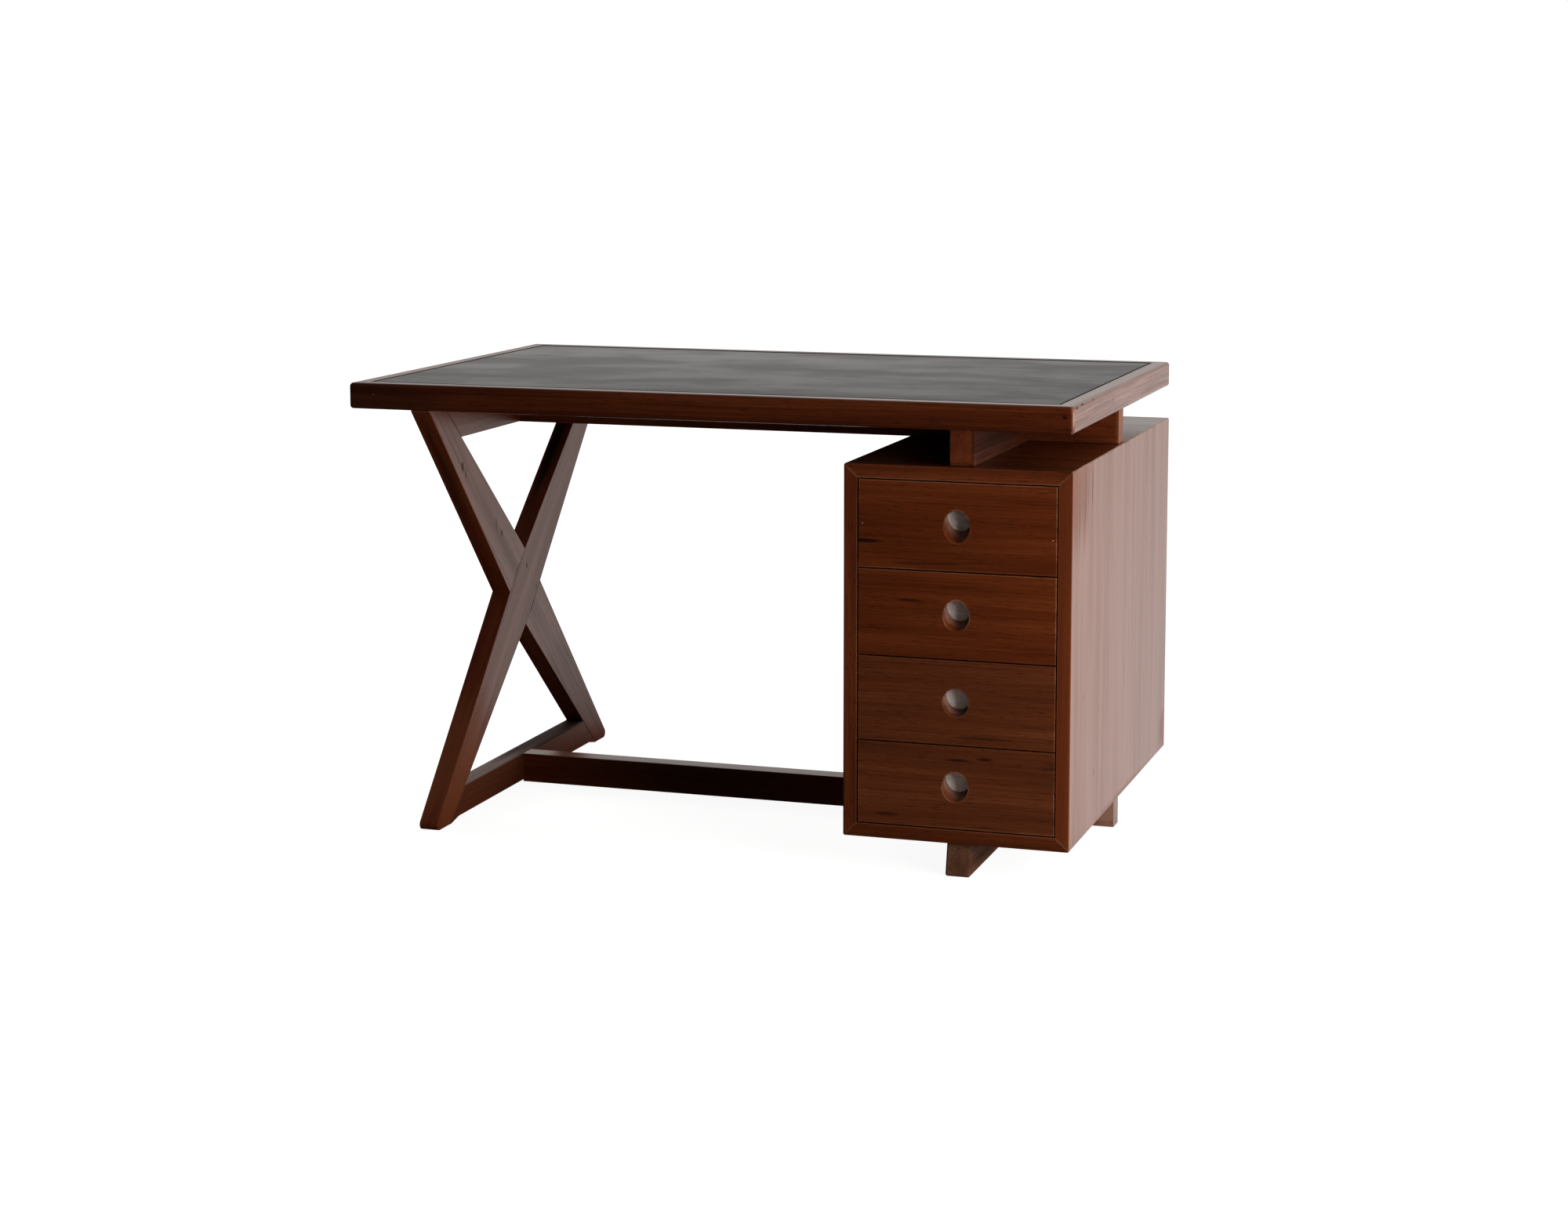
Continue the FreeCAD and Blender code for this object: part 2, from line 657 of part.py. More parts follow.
def make_drawer(number, row, line, slant):
    """Front, two grooved sides, back, bottom and the plate behind the finger bore."""
    make_front(number, row, line, slant)
    side_bottom = f"({line} + {SIDE_RISE})"
    side_height = f"({row} - {SIDE_RISE} - dims.drawer_headroom)"
    side_start = f"({FRONT_BACK} - dims.front_lap)"
    thick = "dims.drawer_side_thickness"
    for name, inward, outer in (("left", 1, f"-{DRAWER_WIDTH} / 2"), ("right", -1, f"{DRAWER_WIDTH} / 2")):
        node = f"drawer_{number}_{name}"
        body = new_body(node, f"{PEDESTAL_CENTRE} + {outer}", side_start, side_bottom)
        groove = f"{inward} * ({thick} - dims.groove_depth)"
        section = [
            ("0", "0"),
            (f"{inward} * {thick}", "0"),
            (f"{inward} * {thick}", GROOVE_BOTTOM),
            (groove, GROOVE_BOTTOM),
            (groove, GROOVE_TOP),
            (f"{inward} * {thick}", GROOVE_TOP),
            (f"{inward} * {thick}", side_height),
            ("0", side_height),
        ]
        sketch = outline(sketch_on(body, f"{node}_section", origin_plane(body, "XZ_Plane")), section)
        pad(body, sketch, f"{DRAWER_END} - {side_start}", backwards=True)

    tongue = "(dims.groove_depth - dims.joint_clearance)"
    bottom_width = f"({DRAWER_INSIDE} + 2 * {tongue})"
    bottom_front = f"({FRONT_BACK} - {tongue})"
    board(
        f"drawer_{number}_bottom",
        (f"{PEDESTAL_CENTRE} - {bottom_width} / 2", bottom_front, f"{side_bottom} + {GROOVE_BOTTOM}"),
        (bottom_width, f"{DRAWER_END} - {bottom_front}", "dims.drawer_bottom_thickness"),
    )
    back_bottom = f"({GROOVE_BOTTOM} + dims.drawer_bottom_thickness)"
    back_height = f"({side_height} - {back_bottom} - dims.drawer_back_drop)"
    board(
        f"drawer_{number}_back",
        (
            f"{PEDESTAL_CENTRE} - {DRAWER_INSIDE} / 2",
            f"{DRAWER_END} - dims.drawer_back_thickness",
            f"{side_bottom} + {back_bottom}",
        ),
        (DRAWER_INSIDE, "dims.drawer_back_thickness", back_height),
    )
    board(
        f"drawer_{number}_plate",
        (
            f"{PEDESTAL_CENTRE} - {PLATE_WIDTH} / 2",
            f"{FRONT_BACK} - dims.plate_thickness",
            f"{line} + {row} / 2 + {plate_centre(slant)} - {plate_height(slant)} / 2",
        ),
        (PLATE_WIDTH, "dims.plate_thickness", plate_height(slant)),
    )


def make_runners(number, line):
    """Pair of strips on the pedestal's sides that carry one drawer."""
    size = ("dims.runner_width", f"{BACK_PANEL_FACE} - {FRONT_BACK}", "dims.runner_height")
    right = f"{OPENING_LEFT} + {OPENING_WIDTH} - dims.runner_width"
    board(f"runner_{number}_left", (OPENING_LEFT, FRONT_BACK, line), size)
    board(f"runner_{number}_right", (right, FRONT_BACK, line), size)


make_top()
make_trestle()
make_beams()
make_carcass()
for number, row, line, slant in drawer_rows():
    make_drawer(number, row, line, slant)
    make_runners(number, line)
doc.recompute()

for item in doc.Objects:
    if {"Invalid", "Error"} & set(item.State):
        raise RuntimeError(f"{item.Name} failed: {item.State}")
os.makedirs("parts", exist_ok=True)
for node in nodes:
    shape = node.Shape
    if shape.isNull() or not shape.isValid() or len(shape.Solids) != 1:
        raise RuntimeError(f"{node.Label} is not one sound solid")
    shape.exportStep(f"parts/{node.Label}.step")
    print(node.Label, round(shape.Volume / 1000, 1), "cm3")
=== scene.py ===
# %% [markdown]
# # Writing desk in teak and leather
# The desk's construction comes packed as a fixed frame: every board, leg, beam and drawer
# is already there at its real size, in metres, with the front towards -Y. This lesson
# dresses that frame. It sets up the studio, makes each finish from procedural nodes, lays
# the leather and drives the small fasteners that the frame leaves out.

# %% Load the frame
from math import atan2, pi

import bmesh
import bpy
from mathutils import Matrix, Vector, noise


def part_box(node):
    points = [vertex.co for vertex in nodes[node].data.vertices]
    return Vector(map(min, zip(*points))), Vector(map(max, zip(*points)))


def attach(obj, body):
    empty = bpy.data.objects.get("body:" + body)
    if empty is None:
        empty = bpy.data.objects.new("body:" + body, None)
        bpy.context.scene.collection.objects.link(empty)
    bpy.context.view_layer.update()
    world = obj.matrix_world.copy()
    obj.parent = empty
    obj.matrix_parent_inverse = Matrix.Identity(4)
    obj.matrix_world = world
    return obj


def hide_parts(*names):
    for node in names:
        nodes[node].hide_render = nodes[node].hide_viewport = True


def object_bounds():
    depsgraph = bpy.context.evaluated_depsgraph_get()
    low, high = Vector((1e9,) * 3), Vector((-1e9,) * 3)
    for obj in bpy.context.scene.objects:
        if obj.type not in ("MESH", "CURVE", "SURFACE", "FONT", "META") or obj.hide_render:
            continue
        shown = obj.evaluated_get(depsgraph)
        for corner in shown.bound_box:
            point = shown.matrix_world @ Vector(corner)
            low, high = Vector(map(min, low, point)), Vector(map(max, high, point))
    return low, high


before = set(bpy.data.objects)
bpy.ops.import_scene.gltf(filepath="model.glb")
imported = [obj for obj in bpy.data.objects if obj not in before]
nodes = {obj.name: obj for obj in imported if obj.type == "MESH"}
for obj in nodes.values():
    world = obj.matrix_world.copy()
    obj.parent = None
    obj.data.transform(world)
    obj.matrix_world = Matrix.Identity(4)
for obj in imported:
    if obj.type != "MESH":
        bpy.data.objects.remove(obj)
scene = bpy.context.scene
scene.view_settings.view_transform = "Standard"
cad_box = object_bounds()
print("frame:", len(nodes), "nodes, box", [round(side, 3) for side in cad_box[1] - cad_box[0]])

# %% [markdown]
# ## Camera
# The photograph was taken from the right of the desk, a little above the top, with a long
# lens held almost level, so upright edges stay upright. A lens shift keeps the desk in the
# middle of the picture without tilting the camera down any further.

# %% Set the camera
LENS = 67.44
SENSOR = 36.0
STAND = (1.564, -4.761, 1.230)
YAW = 0.3141
PITCH = 0.1185
SHIFT = -0.106

lens = bpy.data.cameras.new("camera")
lens.lens = LENS
lens.sensor_width = SENSOR
lens.shift_y = SHIFT
camera = bpy.data.objects.new("camera", lens)
camera.location = STAND
camera.rotation_euler = (pi / 2 - PITCH, 0, YAW)
scene.collection.objects.link(camera)
scene.camera = camera
print("camera: lens", LENS, "mm at", STAND)

# %% [markdown]
# ## Two small helpers
# Colours are written as sRGB hex values, as a paint program shows them, and turned to the
# linear values that the shaders work in. The other helper adds a node to a tree with its
# settings and its inputs: an input is a constant, or another node's output to link. A Map
# Range node's inputs are numbered: 0 is the value, 1 and 2 the range it comes in, and 3 and 4
# what that range becomes, which is 0 to 1 if nothing else is said. A Mix node's are 0 for the
# share, 2 and 3 for the two numbers, and 6 and 7 for the two colours.


# %% Colour and node helpers
def tint(code):
    """Linear RGBA of an sRGB hex value."""
    parts = [int(code[i : i + 2], 16) / 255 for i in (1, 3, 5)]
    linear = [c / 12.92 if c <= 0.04045 else ((c + 0.055) / 1.055) ** 2.4 for c in parts]
    return (*linear, 1.0)


def add(tree, kind, settings=None, inputs=None):
    """New node of a tree, with its settings, constants and links."""
    node = tree.nodes.new(kind)
    for name, setting in (settings or {}).items():
        setattr(node, name, setting)
    for socket, source in (inputs or {}).items():
        if isinstance(source, bpy.types.NodeSocket):
            tree.links.new(source, node.inputs[socket])
        else:
            node.inputs[socket].default_value = source
    return node


def empty_tree(owner):
    """Node tree of a material or world, cleared."""
    owner.use_nodes = True
    owner.node_tree.nodes.clear()
    return owner.node_tree


MM = 0.001
EASED = {"interpolation_type": "SMOOTHSTEP"}
COLOURS = {"data_type": "RGBA"}
print("teak brown in linear values:", [round(c, 3) for c in tint("#5A2410")])

# %% [markdown]
# ## Studio
# The desk stands in a pale studio with tall windows behind it and to its right. The room's
# front is dim, which leaves the drawer fronts deep brown and gives the right-hand faces and
# the leather their pale sheen. The world is a soft gradient from the dim front to the
# bright back, in a light that is a very little warm. Rays from the camera see plain white, so
# the picture's background is white. Glossy rays see the gradient itself, because a front that
# mirrors white turns grey.

# %% World
WINDOW_SIDE = (0.64, 0.74, 0.20)
ROOM_DIM = 0.05
ROOM_BRIGHT = 0.95
DIM_TO = -0.25  # share of the window side in a direction, up to where the room is dim
BRIGHT_FROM = 0.65
WINDOW_LIGHT = "#FFFCF8"
WHITE = "#FFFFFF"

world = bpy.data.worlds.new("studio")
scene.world = world
tree = empty_tree(world)
direction = add(tree, "ShaderNodeTexCoord")
side = add(
    tree,
    "ShaderNodeVectorMath",
    {"operation": "DOT_PRODUCT"},
    {0: direction.outputs["Generated"], 1: WINDOW_SIDE},
)
level = add(
    tree,
    "ShaderNodeMapRange",
    EASED,
    {
        "Value": side.outputs["Value"],
        "From Min": DIM_TO,
        "From Max": BRIGHT_FROM,
        "To Min": ROOM_DIM,
        "To Max": ROOM_BRIGHT,
    },
)
rays = add(tree, "ShaderNodeLightPath")
seen = add(
    tree,
    "ShaderNodeMath",
    {"operation": "MAXIMUM"},
    {0: rays.outputs["Is Camera Ray"], 1: rays.outputs["Is Transmission Ray"]},
)
strength = add(
    tree,
    "ShaderNodeMix",
    {"data_type": "FLOAT"},
    {0: seen.outputs[0], 2: level.outputs["Result"], 3: 1.0},
)
daylight = add(
    tree,
    "ShaderNodeMix",
    COLOURS,
    {0: seen.outputs[0], 6: tint(WINDOW_LIGHT), 7: tint(WHITE)},
)
background = add(
    tree,
    "ShaderNodeBackground",
    None,
    {"Color": daylight.outputs[2], "Strength": strength.outputs[0]},
)
add(tree, "ShaderNodeOutputWorld", None, {"Surface": background.outputs[0]})
print("world: dim front", ROOM_DIM, "bright back", ROOM_BRIGHT)

# %% [markdown]
# ## Floor
# A pale floor catches the desk's soft shadow. To the camera it glows up to white, so the
# shadow is all that shows of it. In reflections it glows as a painted reflection of the room
# around it: bright towards the windows, dark in front, and dim under the desk, a painted
# shadow of the desk, which keeps the light off it.

# %% Floor
FLOOR_RADIUS = 14.0
FLOOR_SIDES = 96
FLOOR_LEVEL = -0.0005  # just under the feet, so the two don't share a plane
FLOOR_COLOUR = "#807E7C"
FLOOR_DARK = "#1E1D1C"
FLOOR_NEAR = 0.93
FLOOR_FAR = 1.0
FADE_SPAN = (0.8, 4.0)  # metres from the middle
BEHIND_SPAN = (-0.1, 0.45)  # metres towards the windows
FLOOR_MIRRORED = 1.0
FLOOR_SHELTERED = 0.35
SHELTER_SPAN = (-0.25, 0.05)  # metres out from the desk's outline

mesh = bmesh.new()
bmesh.ops.create_circle(mesh, cap_ends=True, segments=FLOOR_SIDES, radius=FLOOR_RADIUS)
bmesh.ops.translate(mesh, vec=(0, 0, FLOOR_LEVEL), verts=mesh.verts)
floor_mesh = bpy.data.meshes.new("floor")
mesh.to_mesh(floor_mesh)
mesh.free()
floor = bpy.data.objects.new("floor", floor_mesh)
scene.collection.objects.link(floor)

floor_finish = bpy.data.materials.new("pale_floor")
tree = empty_tree(floor_finish)
place = add(tree, "ShaderNodeTexCoord")
windowward = add(
    tree,
    "ShaderNodeVectorMath",
    {"operation": "DOT_PRODUCT"},
    {0: place.outputs["Object"], 1: WINDOW_SIDE},
)
reach = add(tree, "ShaderNodeVectorMath", {"operation": "LENGTH"}, {0: place.outputs["Object"]})
fade = add(
    tree,
    "ShaderNodeMapRange",
    EASED,
    {
        "Value": reach.outputs["Value"],
        "From Min": FADE_SPAN[0],
        "From Max": FADE_SPAN[1],
        "To Min": FLOOR_NEAR,
        "To Max": FLOOR_FAR,
    },
)
behind = add(
    tree,
    "ShaderNodeMapRange",
    EASED,
    {0: windowward.outputs["Value"], 1: BEHIND_SPAN[0], 2: BEHIND_SPAN[1]},
)
spread = add(tree, "ShaderNodeVectorMath", {"operation": "ABSOLUTE"}, {0: place.outputs["Object"]})
outside = add(
    tree,
    "ShaderNodeVectorMath",
    {"operation": "SUBTRACT"},
    {0: spread.outputs[0], 1: (cad_box[1].x, cad_box[1].y, 1.0)},
)
sides = add(tree, "ShaderNodeSeparateXYZ", None, {0: outside.outputs[0]})
beyond = add(
    tree, "ShaderNodeMath", {"operation": "MAXIMUM"}, {0: sides.outputs["X"], 1: sides.outputs["Y"]}
)
sheltered = add(
    tree,
    "ShaderNodeMapRange",
    EASED,
    {
        "Value": beyond.outputs[0],
        "From Min": SHELTER_SPAN[0],
        "From Max": SHELTER_SPAN[1],
        "To Min": FLOOR_SHELTERED,
        "To Max": FLOOR_MIRRORED,
    },
)
rays = add(tree, "ShaderNodeLightPath")
to_camera = add(
    tree,
    "ShaderNodeMath",
    {"operation": "MULTIPLY"},
    {0: fade.outputs[0], 1: rays.outputs["Is Camera Ray"]},
)
mirrored = add(
    tree,
    "ShaderNodeMath",
    {"operation": "MULTIPLY"},
    {0: behind.outputs[0], 1: rays.outputs["Is Glossy Ray"]},
)
# glow: white to the camera, and for glossy rays a painted reflection of the room with a painted
# shadow under the desk
glow = add(
    tree,
    "ShaderNodeMath",
    {"operation": "MULTIPLY_ADD"},
    {0: mirrored.outputs[0], 1: sheltered.outputs[0], 2: to_camera.outputs[0]},
)
hidden = add(
    tree,
    "ShaderNodeMath",
    {"operation": "SUBTRACT"},
    {0: rays.outputs["Is Glossy Ray"], 1: mirrored.outputs[0]},
)
shade = add(
    tree,
    "ShaderNodeMix",
    COLOURS,
    {0: hidden.outputs[0], 6: tint(FLOOR_COLOUR), 7: tint(FLOOR_DARK)},
)
lit = add(tree, "ShaderNodeBsdfDiffuse", None, {"Color": shade.outputs[2]})
bounced = add(
    tree,
    "ShaderNodeMix",
    COLOURS,
    {0: rays.outputs["Is Camera Ray"], 6: tint(WINDOW_LIGHT), 7: tint(WHITE)},
)
white = add(
    tree,
    "ShaderNodeEmission",
    None,
    {"Color": bounced.outputs[2], "Strength": glow.outputs[0]},
)
both = add(tree, "ShaderNodeAddShader", None, {0: lit.outputs[0], 1: white.outputs[0]})
add(tree, "ShaderNodeOutputMaterial", None, {"Surface": both.outputs[0]})
floor_mesh.materials.append(floor_finish)
print("floor: radius", FLOOR_RADIUS, "m")

# %% [markdown]
# ## Lamps
# Three large soft lamps stand for the windows that the gradient is too even to show. The one
# at the right is near and low, and lights the drawer fronts from the side. Neither the camera
# nor the glossy rays see them, so they leave no bright shape on the leather.

# %% Lamps
LAMPS = {
    # name: (place, aim, width, height, watts)
    "side_window": ((2.05, -1.3, 0.55), (0.5, -0.2, 0.4), 1.0, 1.0, 34.0),
    "back_window": ((3.4, 2.4, 1.2), (0.2, 0.0, 0.4), 2.4, 2.0, 45.0),
    "left_window": ((-3.0, 1.4, 1.4), (-0.2, 0.0, 0.4), 2.0, 2.0, 50.0),
}
for name, (stand, aim, width, height, watts) in LAMPS.items():
    lamp = bpy.data.lights.new(name, "AREA")
    lamp.shape = "RECTANGLE"
    lamp.size = width
    lamp.size_y = height
    lamp.energy = watts
    holder = bpy.data.objects.new(name, lamp)
    holder.location = stand
    holder.rotation_euler = (Vector(aim) - Vector(stand)).to_track_quat("-Z", "Y").to_euler()
    holder.visible_camera = False
    holder.visible_glossy = False
    scene.collection.objects.link(holder)
    print("lamp:", name, watts, "W")

# %% [markdown]
# ## Teak
# Old oiled teak is a reddish brown that has darkened with age. Its grain is straight, with
# slow changes of tone across a board, fine lines a few millimetres apart, short open
# pores, and now and then a nearly black streak. All of these are one solid pattern that is
# long along the grain and short across it, so a side shows lines and an end shows dots, as
# on a real board. Each layer is noise stretched to a length and a width in millimetres.
# A slow wander bends the lines a little. Hands and dusters have rubbed the edges, so there
# the finish is worn to a paler brown, where rays sent into the wood soon leave it again.

# %% Teak grain
TEAK_LAYERS = {
    # layer: (width across the grain in mm, length along it in mm, detail)
    "tone": (34.0, 800.0, 2.0),
    "line": (3.0, 380.0, 3.0),
    # real pores are a third of this width, too fine to show
    "pore": (1.5, 20.0, 2.0),
    "streak": (11.0, 210.0, 4.0),
}
WANDER_SIZE = (420 * MM, 130 * MM, 130 * MM)
WANDER = (0.0, 14 * MM, 14 * MM)
LAYER_ROUGHNESS = 0.55


def grain_turn(along):
    """Rotation that brings the grain's direction onto the pattern's X axis."""
    if abs(along.x) > 0.5:
        return (0.0, 0.0, 0.0)
    return (-atan2(along.z, along.y), 0.0, -pi / 2)


def grain_layers(tree, place, along, shift):
    """The stretched noise layers of a board, each as a value socket."""
    turned = add(
        tree,
        "ShaderNodeMapping",
        None,
        {"Vector": place, "Location": shift, "Rotation": grain_turn(Vector(along))},
    )
    slow = add(
        tree,
        "ShaderNodeVectorMath",
        {"operation": "DIVIDE"},
        {0: turned.outputs[0], 1: WANDER_SIZE},
    )
    drift = add(
        tree, "ShaderNodeTexNoise", None, {"Vector": slow.outputs[0], "Scale": 1.0, "Detail": 1.0}
    )
    bent = add(
        tree,
        "ShaderNodeVectorMath",
        {"operation": "MULTIPLY_ADD"},
        {0: drift.outputs["Color"], 1: WANDER, 2: turned.outputs[0]},
    )
    layers = {}
    for key, (across, length, detail) in TEAK_LAYERS.items():
        size = (length * MM, across * MM, across * MM)
        stretched = add(
            tree, "ShaderNodeVectorMath", {"operation": "DIVIDE"}, {0: bent.outputs[0], 1: size}
        )
        pattern = add(
            tree,
            "ShaderNodeTexNoise",
            None,
            {
                "Vector": stretched.outputs[0],
                "Scale": 1.0,
                "Detail": detail,
                "Roughness": LAYER_ROUGHNESS,
            },
        )
        layers[key] = pattern.outputs["Fac"]
    return layers


print("teak:", len(TEAK_LAYERS), "layers of grain")

# %% [markdown]
# ## Marks
# Some marks belong to one board and one place: a short black streak in a drawer front, a
# dent in a leg, the dark line of a joint, a corner rubbed pale. Others are painted shade and
# painted light: a side darkened where the top or the pedestal shades it, a paler patch where
# light falls low. Each is an ellipsoid in the wood, with a middle, a reach on each axis, a
# turn and a strength, whose border the grain makes ragged. It is black unless it has a tone
# of its own. A mark also dulls the oil, so that a side with painted shade doesn't mirror the
# room.

# %% Marks
RAGGED = 0.9
MARK_BORDER = (1.35, 0.75)


def marked(tree, place, layers, marks, colour, black):
    """Colour of a board with its marks laid over it, and how far they dull the oil."""
    dull = 0.0
    for middle, reach, turn, strength, *tone in marks:
        local = add(
            tree,
            "ShaderNodeMapping",
            {"vector_type": "TEXTURE"},
            {"Vector": place, "Location": middle, "Rotation": (turn, 0, 0), "Scale": reach},
        )
        away = add(tree, "ShaderNodeVectorMath", {"operation": "LENGTH"}, {0: local.outputs[0]})
        ragged = add(
            tree,
            "ShaderNodeMath",
            {"operation": "MULTIPLY_ADD"},
            {0: layers["streak"], 1: RAGGED, 2: away.outputs["Value"]},
        )
        mask = add(
            tree,
            "ShaderNodeMapRange",
            EASED,
            {0: ragged.outputs[0], 1: MARK_BORDER[0], 2: MARK_BORDER[1], 3: 0.0, 4: strength},
        )
        laid = add(
            tree,
            "ShaderNodeMix",
            COLOURS,
            {0: mask.outputs[0], 6: colour, 7: tint(tone[0]) if tone else black},
        )
        colour = laid.outputs[2]
        most = add(
            tree, "ShaderNodeMath", {"operation": "MAXIMUM"}, {0: mask.outputs[0], 1: dull}
        )
        dull = most.outputs[0]
    return colour, dull


print("marks: border from", MARK_BORDER[0], "to", MARK_BORDER[1], "of their reach")

# %% [markdown]
# ## Teak finish
# The finish lays the layers over each other: tones and lines first, then the worn edges, the
# pores and streaks, and the marks. Pores and streaks are also a little sunk. Light wood takes
# a better polish than dark, so the sheen follows the grain as well. In the values below and
# in the other finishes, a cut is the span of a layer's noise in which something sets in.

# %% Teak finish
LINE_SHARE = 0.42
GRAIN_SPREAD = 0.15
PORE_CUT = (0.55, 0.70)
PORE_SHARE = 0.5
STREAK_CUT = (0.63, 0.76)
STREAK_SHARE = 0.6
WORN_WIDTH = 2.5 * MM
WORN_OPEN = (0.95, 0.55)  # share of rays kept in the wood, on a face and at an edge
WORN_CUT = (0.40, 0.62)
WORN_SHARE = (0.15, 0.8)
EASED_EDGE = 1.0 * MM
RELIEF = 0.25
RELIEF_DEPTH = 0.25 * MM
SATIN = (0.26, 0.31)
SATIN_CUT = (0.3, 0.7)
DULLED = 0.35
SHEEN = 0.22
SHINE_CUT = (0.37, 0.63)
SHINE_SPREAD = 0.3


def teak(name, along, tones, shift=(0, 0, 0), rough=SATIN, marks=(), figure=1.0, sheen=SHEEN):
    """Oiled teak with its grain along a direction.

    tones are the black of streaks, the dark of lines, the body, the light and the worn edge.
    The oil gives a satin sheen, strong at a low angle and nearly none seen straight on.
    figure is how boldly the grain is drawn, and sheen how much of the room the oil mirrors.
    """
    finish = bpy.data.materials.new(name)
    tree = empty_tree(finish)
    place = add(tree, "ShaderNodeTexCoord").outputs["Object"]
    layers = grain_layers(tree, place, along, shift)
    black, dark, body, light, worn = (tint(code) for code in tones)
    share = add(
        tree,
        "ShaderNodeMath",
        {"operation": "MULTIPLY"},
        {0: layers["tone"], 1: 1 - LINE_SHARE},
    )
    mixed = add(
        tree,
        "ShaderNodeMath",
        {"operation": "MULTIPLY_ADD"},
        {0: layers["line"], 1: LINE_SHARE, 2: share.outputs[0]},
    )
    wood = add(tree, "ShaderNodeValToRGB", None, {"Fac": mixed.outputs[0]})
    wood.color_ramp.elements[0].position = 0.5 - GRAIN_SPREAD / figure
    wood.color_ramp.elements[0].color = dark
    wood.color_ramp.elements[1].position = 0.5 + GRAIN_SPREAD / figure
    wood.color_ramp.elements[1].color = light
    wood.color_ramp.elements.new(0.5).color = body
    pores = add(
        tree,
        "ShaderNodeMapRange",
        EASED,
        {0: layers["pore"], 1: PORE_CUT[0], 2: PORE_CUT[1], 3: 0.0, 4: PORE_SHARE * figure},
    )
    streaks = add(
        tree,
        "ShaderNodeMapRange",
        EASED,
        {
            0: layers["streak"],
            1: STREAK_CUT[0],
            2: STREAK_CUT[1],
            3: 0.0,
            4: STREAK_SHARE * figure,
        },
    )
    darkest = add(
        tree,
        "ShaderNodeMath",
        {"operation": "MAXIMUM"},
        {0: pores.outputs[0], 1: streaks.outputs[0]},
    )
    inside = add(
        tree,
        "ShaderNodeAmbientOcclusion",
        {"inside": True, "only_local": True, "samples": 6},
        {"Distance": WORN_WIDTH},
    )
    edges = add(
        tree,
        "ShaderNodeMapRange",
        EASED,
        {0: inside.outputs["AO"], 1: WORN_OPEN[0], 2: WORN_OPEN[1]},
    )
    patches = add(
        tree,
        "ShaderNodeMapRange",
        EASED,
        {0: layers["tone"], 1: WORN_CUT[0], 2: WORN_CUT[1], 3: WORN_SHARE[0], 4: WORN_SHARE[1]},
    )
    rubbed = add(
        tree,
        "ShaderNodeMath",
        {"operation": "MULTIPLY"},
        {0: edges.outputs[0], 1: patches.outputs[0]},
    )
    edged = add(
        tree,
        "ShaderNodeMix",
        COLOURS,
        {0: rubbed.outputs[0], 6: wood.outputs["Color"], 7: worn},
    )
    grained = add(
        tree,
        "ShaderNodeMix",
        COLOURS,
        {0: darkest.outputs[0], 6: edged.outputs[2], 7: black},
    )
    height = add(
        tree,
        "ShaderNodeMath",
        {"operation": "SUBTRACT"},
        {0: layers["line"], 1: darkest.outputs[0]},
    )
    eased = add(tree, "ShaderNodeBevel", {"samples": 4}, {"Radius": EASED_EDGE})
    bump = add(
        tree,
        "ShaderNodeBump",
        None,
        {
            "Height": height.outputs[0],
            "Strength": RELIEF * figure,
            "Distance": RELIEF_DEPTH,
            "Normal": eased.outputs[0],
        },
    )
    satin = add(
        tree,
        "ShaderNodeMapRange",
        EASED,
        {0: layers["line"], 1: SATIN_CUT[0], 2: SATIN_CUT[1], 3: rough[1], 4: rough[0]},
    )
    colour, dull = marked(tree, place, layers, marks, grained.outputs[2], black)
    matt = add(
        tree,
        "ShaderNodeMath",
        {"operation": "MULTIPLY_ADD"},
        {0: dull, 1: DULLED, 2: satin.outputs[0]},
    )
    shine = add(
        tree,
        "ShaderNodeMapRange",
        EASED,
        {
            0: mixed.outputs[0],
            1: SHINE_CUT[0],
            2: SHINE_CUT[1],
            3: sheen * (1 - SHINE_SPREAD),
            4: sheen * (1 + SHINE_SPREAD),
        },
    )
    skin = add(
        tree,
        "ShaderNodeBsdfPrincipled",
        None,
        {
            "Base Color": colour,
            "Roughness": matt.outputs[0],
            "Normal": bump.outputs[0],
            "Specular IOR Level": shine.outputs[0],
        },
    )
    add(tree, "ShaderNodeOutputMaterial", None, {"Surface": skin.outputs[0]})
    return finish


TOP_TONES = ("#140603", "#3B170B", "#52220D", "#663016", "#8A5A40")
TRESTLE_TONES = ("#160702", "#4A1B0B", "#602810", "#72361A", "#7E5340")
BEAM_TONES = ("#1E0B05", "#4A1E0D", "#602B14", "#75391D", "#8E5C42")
RAIL_TONES = ("#1A0B06", "#42200F", "#552A18", "#663A24", "#825C46")
DUSTY_TONES = ("#22120B", "#4E2F21", "#63402E", "#745040", "#8E6A55")
CASE_TONES = ("#1E0A04", "#48200E", "#5A2710", "#6C3318", "#8E5C42")
FRAME_TONES = ("#2A1007", "#542410", "#672F15", "#7A3C1D", "#9A6448")
FRONT_TONES = ("#200B04", "#4E1F0B", "#5E280F", "#6F3416", "#A06E52")
LOWER_FRONT_TONES = ("#200E08", "#4E2513", "#5F2E17", "#703A1F", "#A06E52")
ALONG_X = (1, 0, 0)
ALONG_Y = (0, 1, 0)
ALONG_Z = (0, 0, 1)


def dress(piece, finish):
    """Give a node or piece its one finish."""
    piece.data.materials.clear()
    piece.data.materials.append(finish)


print("teak tones: body of the top", TOP_TONES[2], "of the fronts", FRONT_TONES[2])

# %% [markdown]
# ## Boards
# Every board is sawn along the grain, so the pattern follows each piece's length: along the
# lippings and beams, up the sides of the pedestal, and down each slanted leg. Each piece
# also gets its own place in the pattern, because no two boards are cut from one spot. Boards
# that are out of reach, near the floor and under the top, are duller than the others.

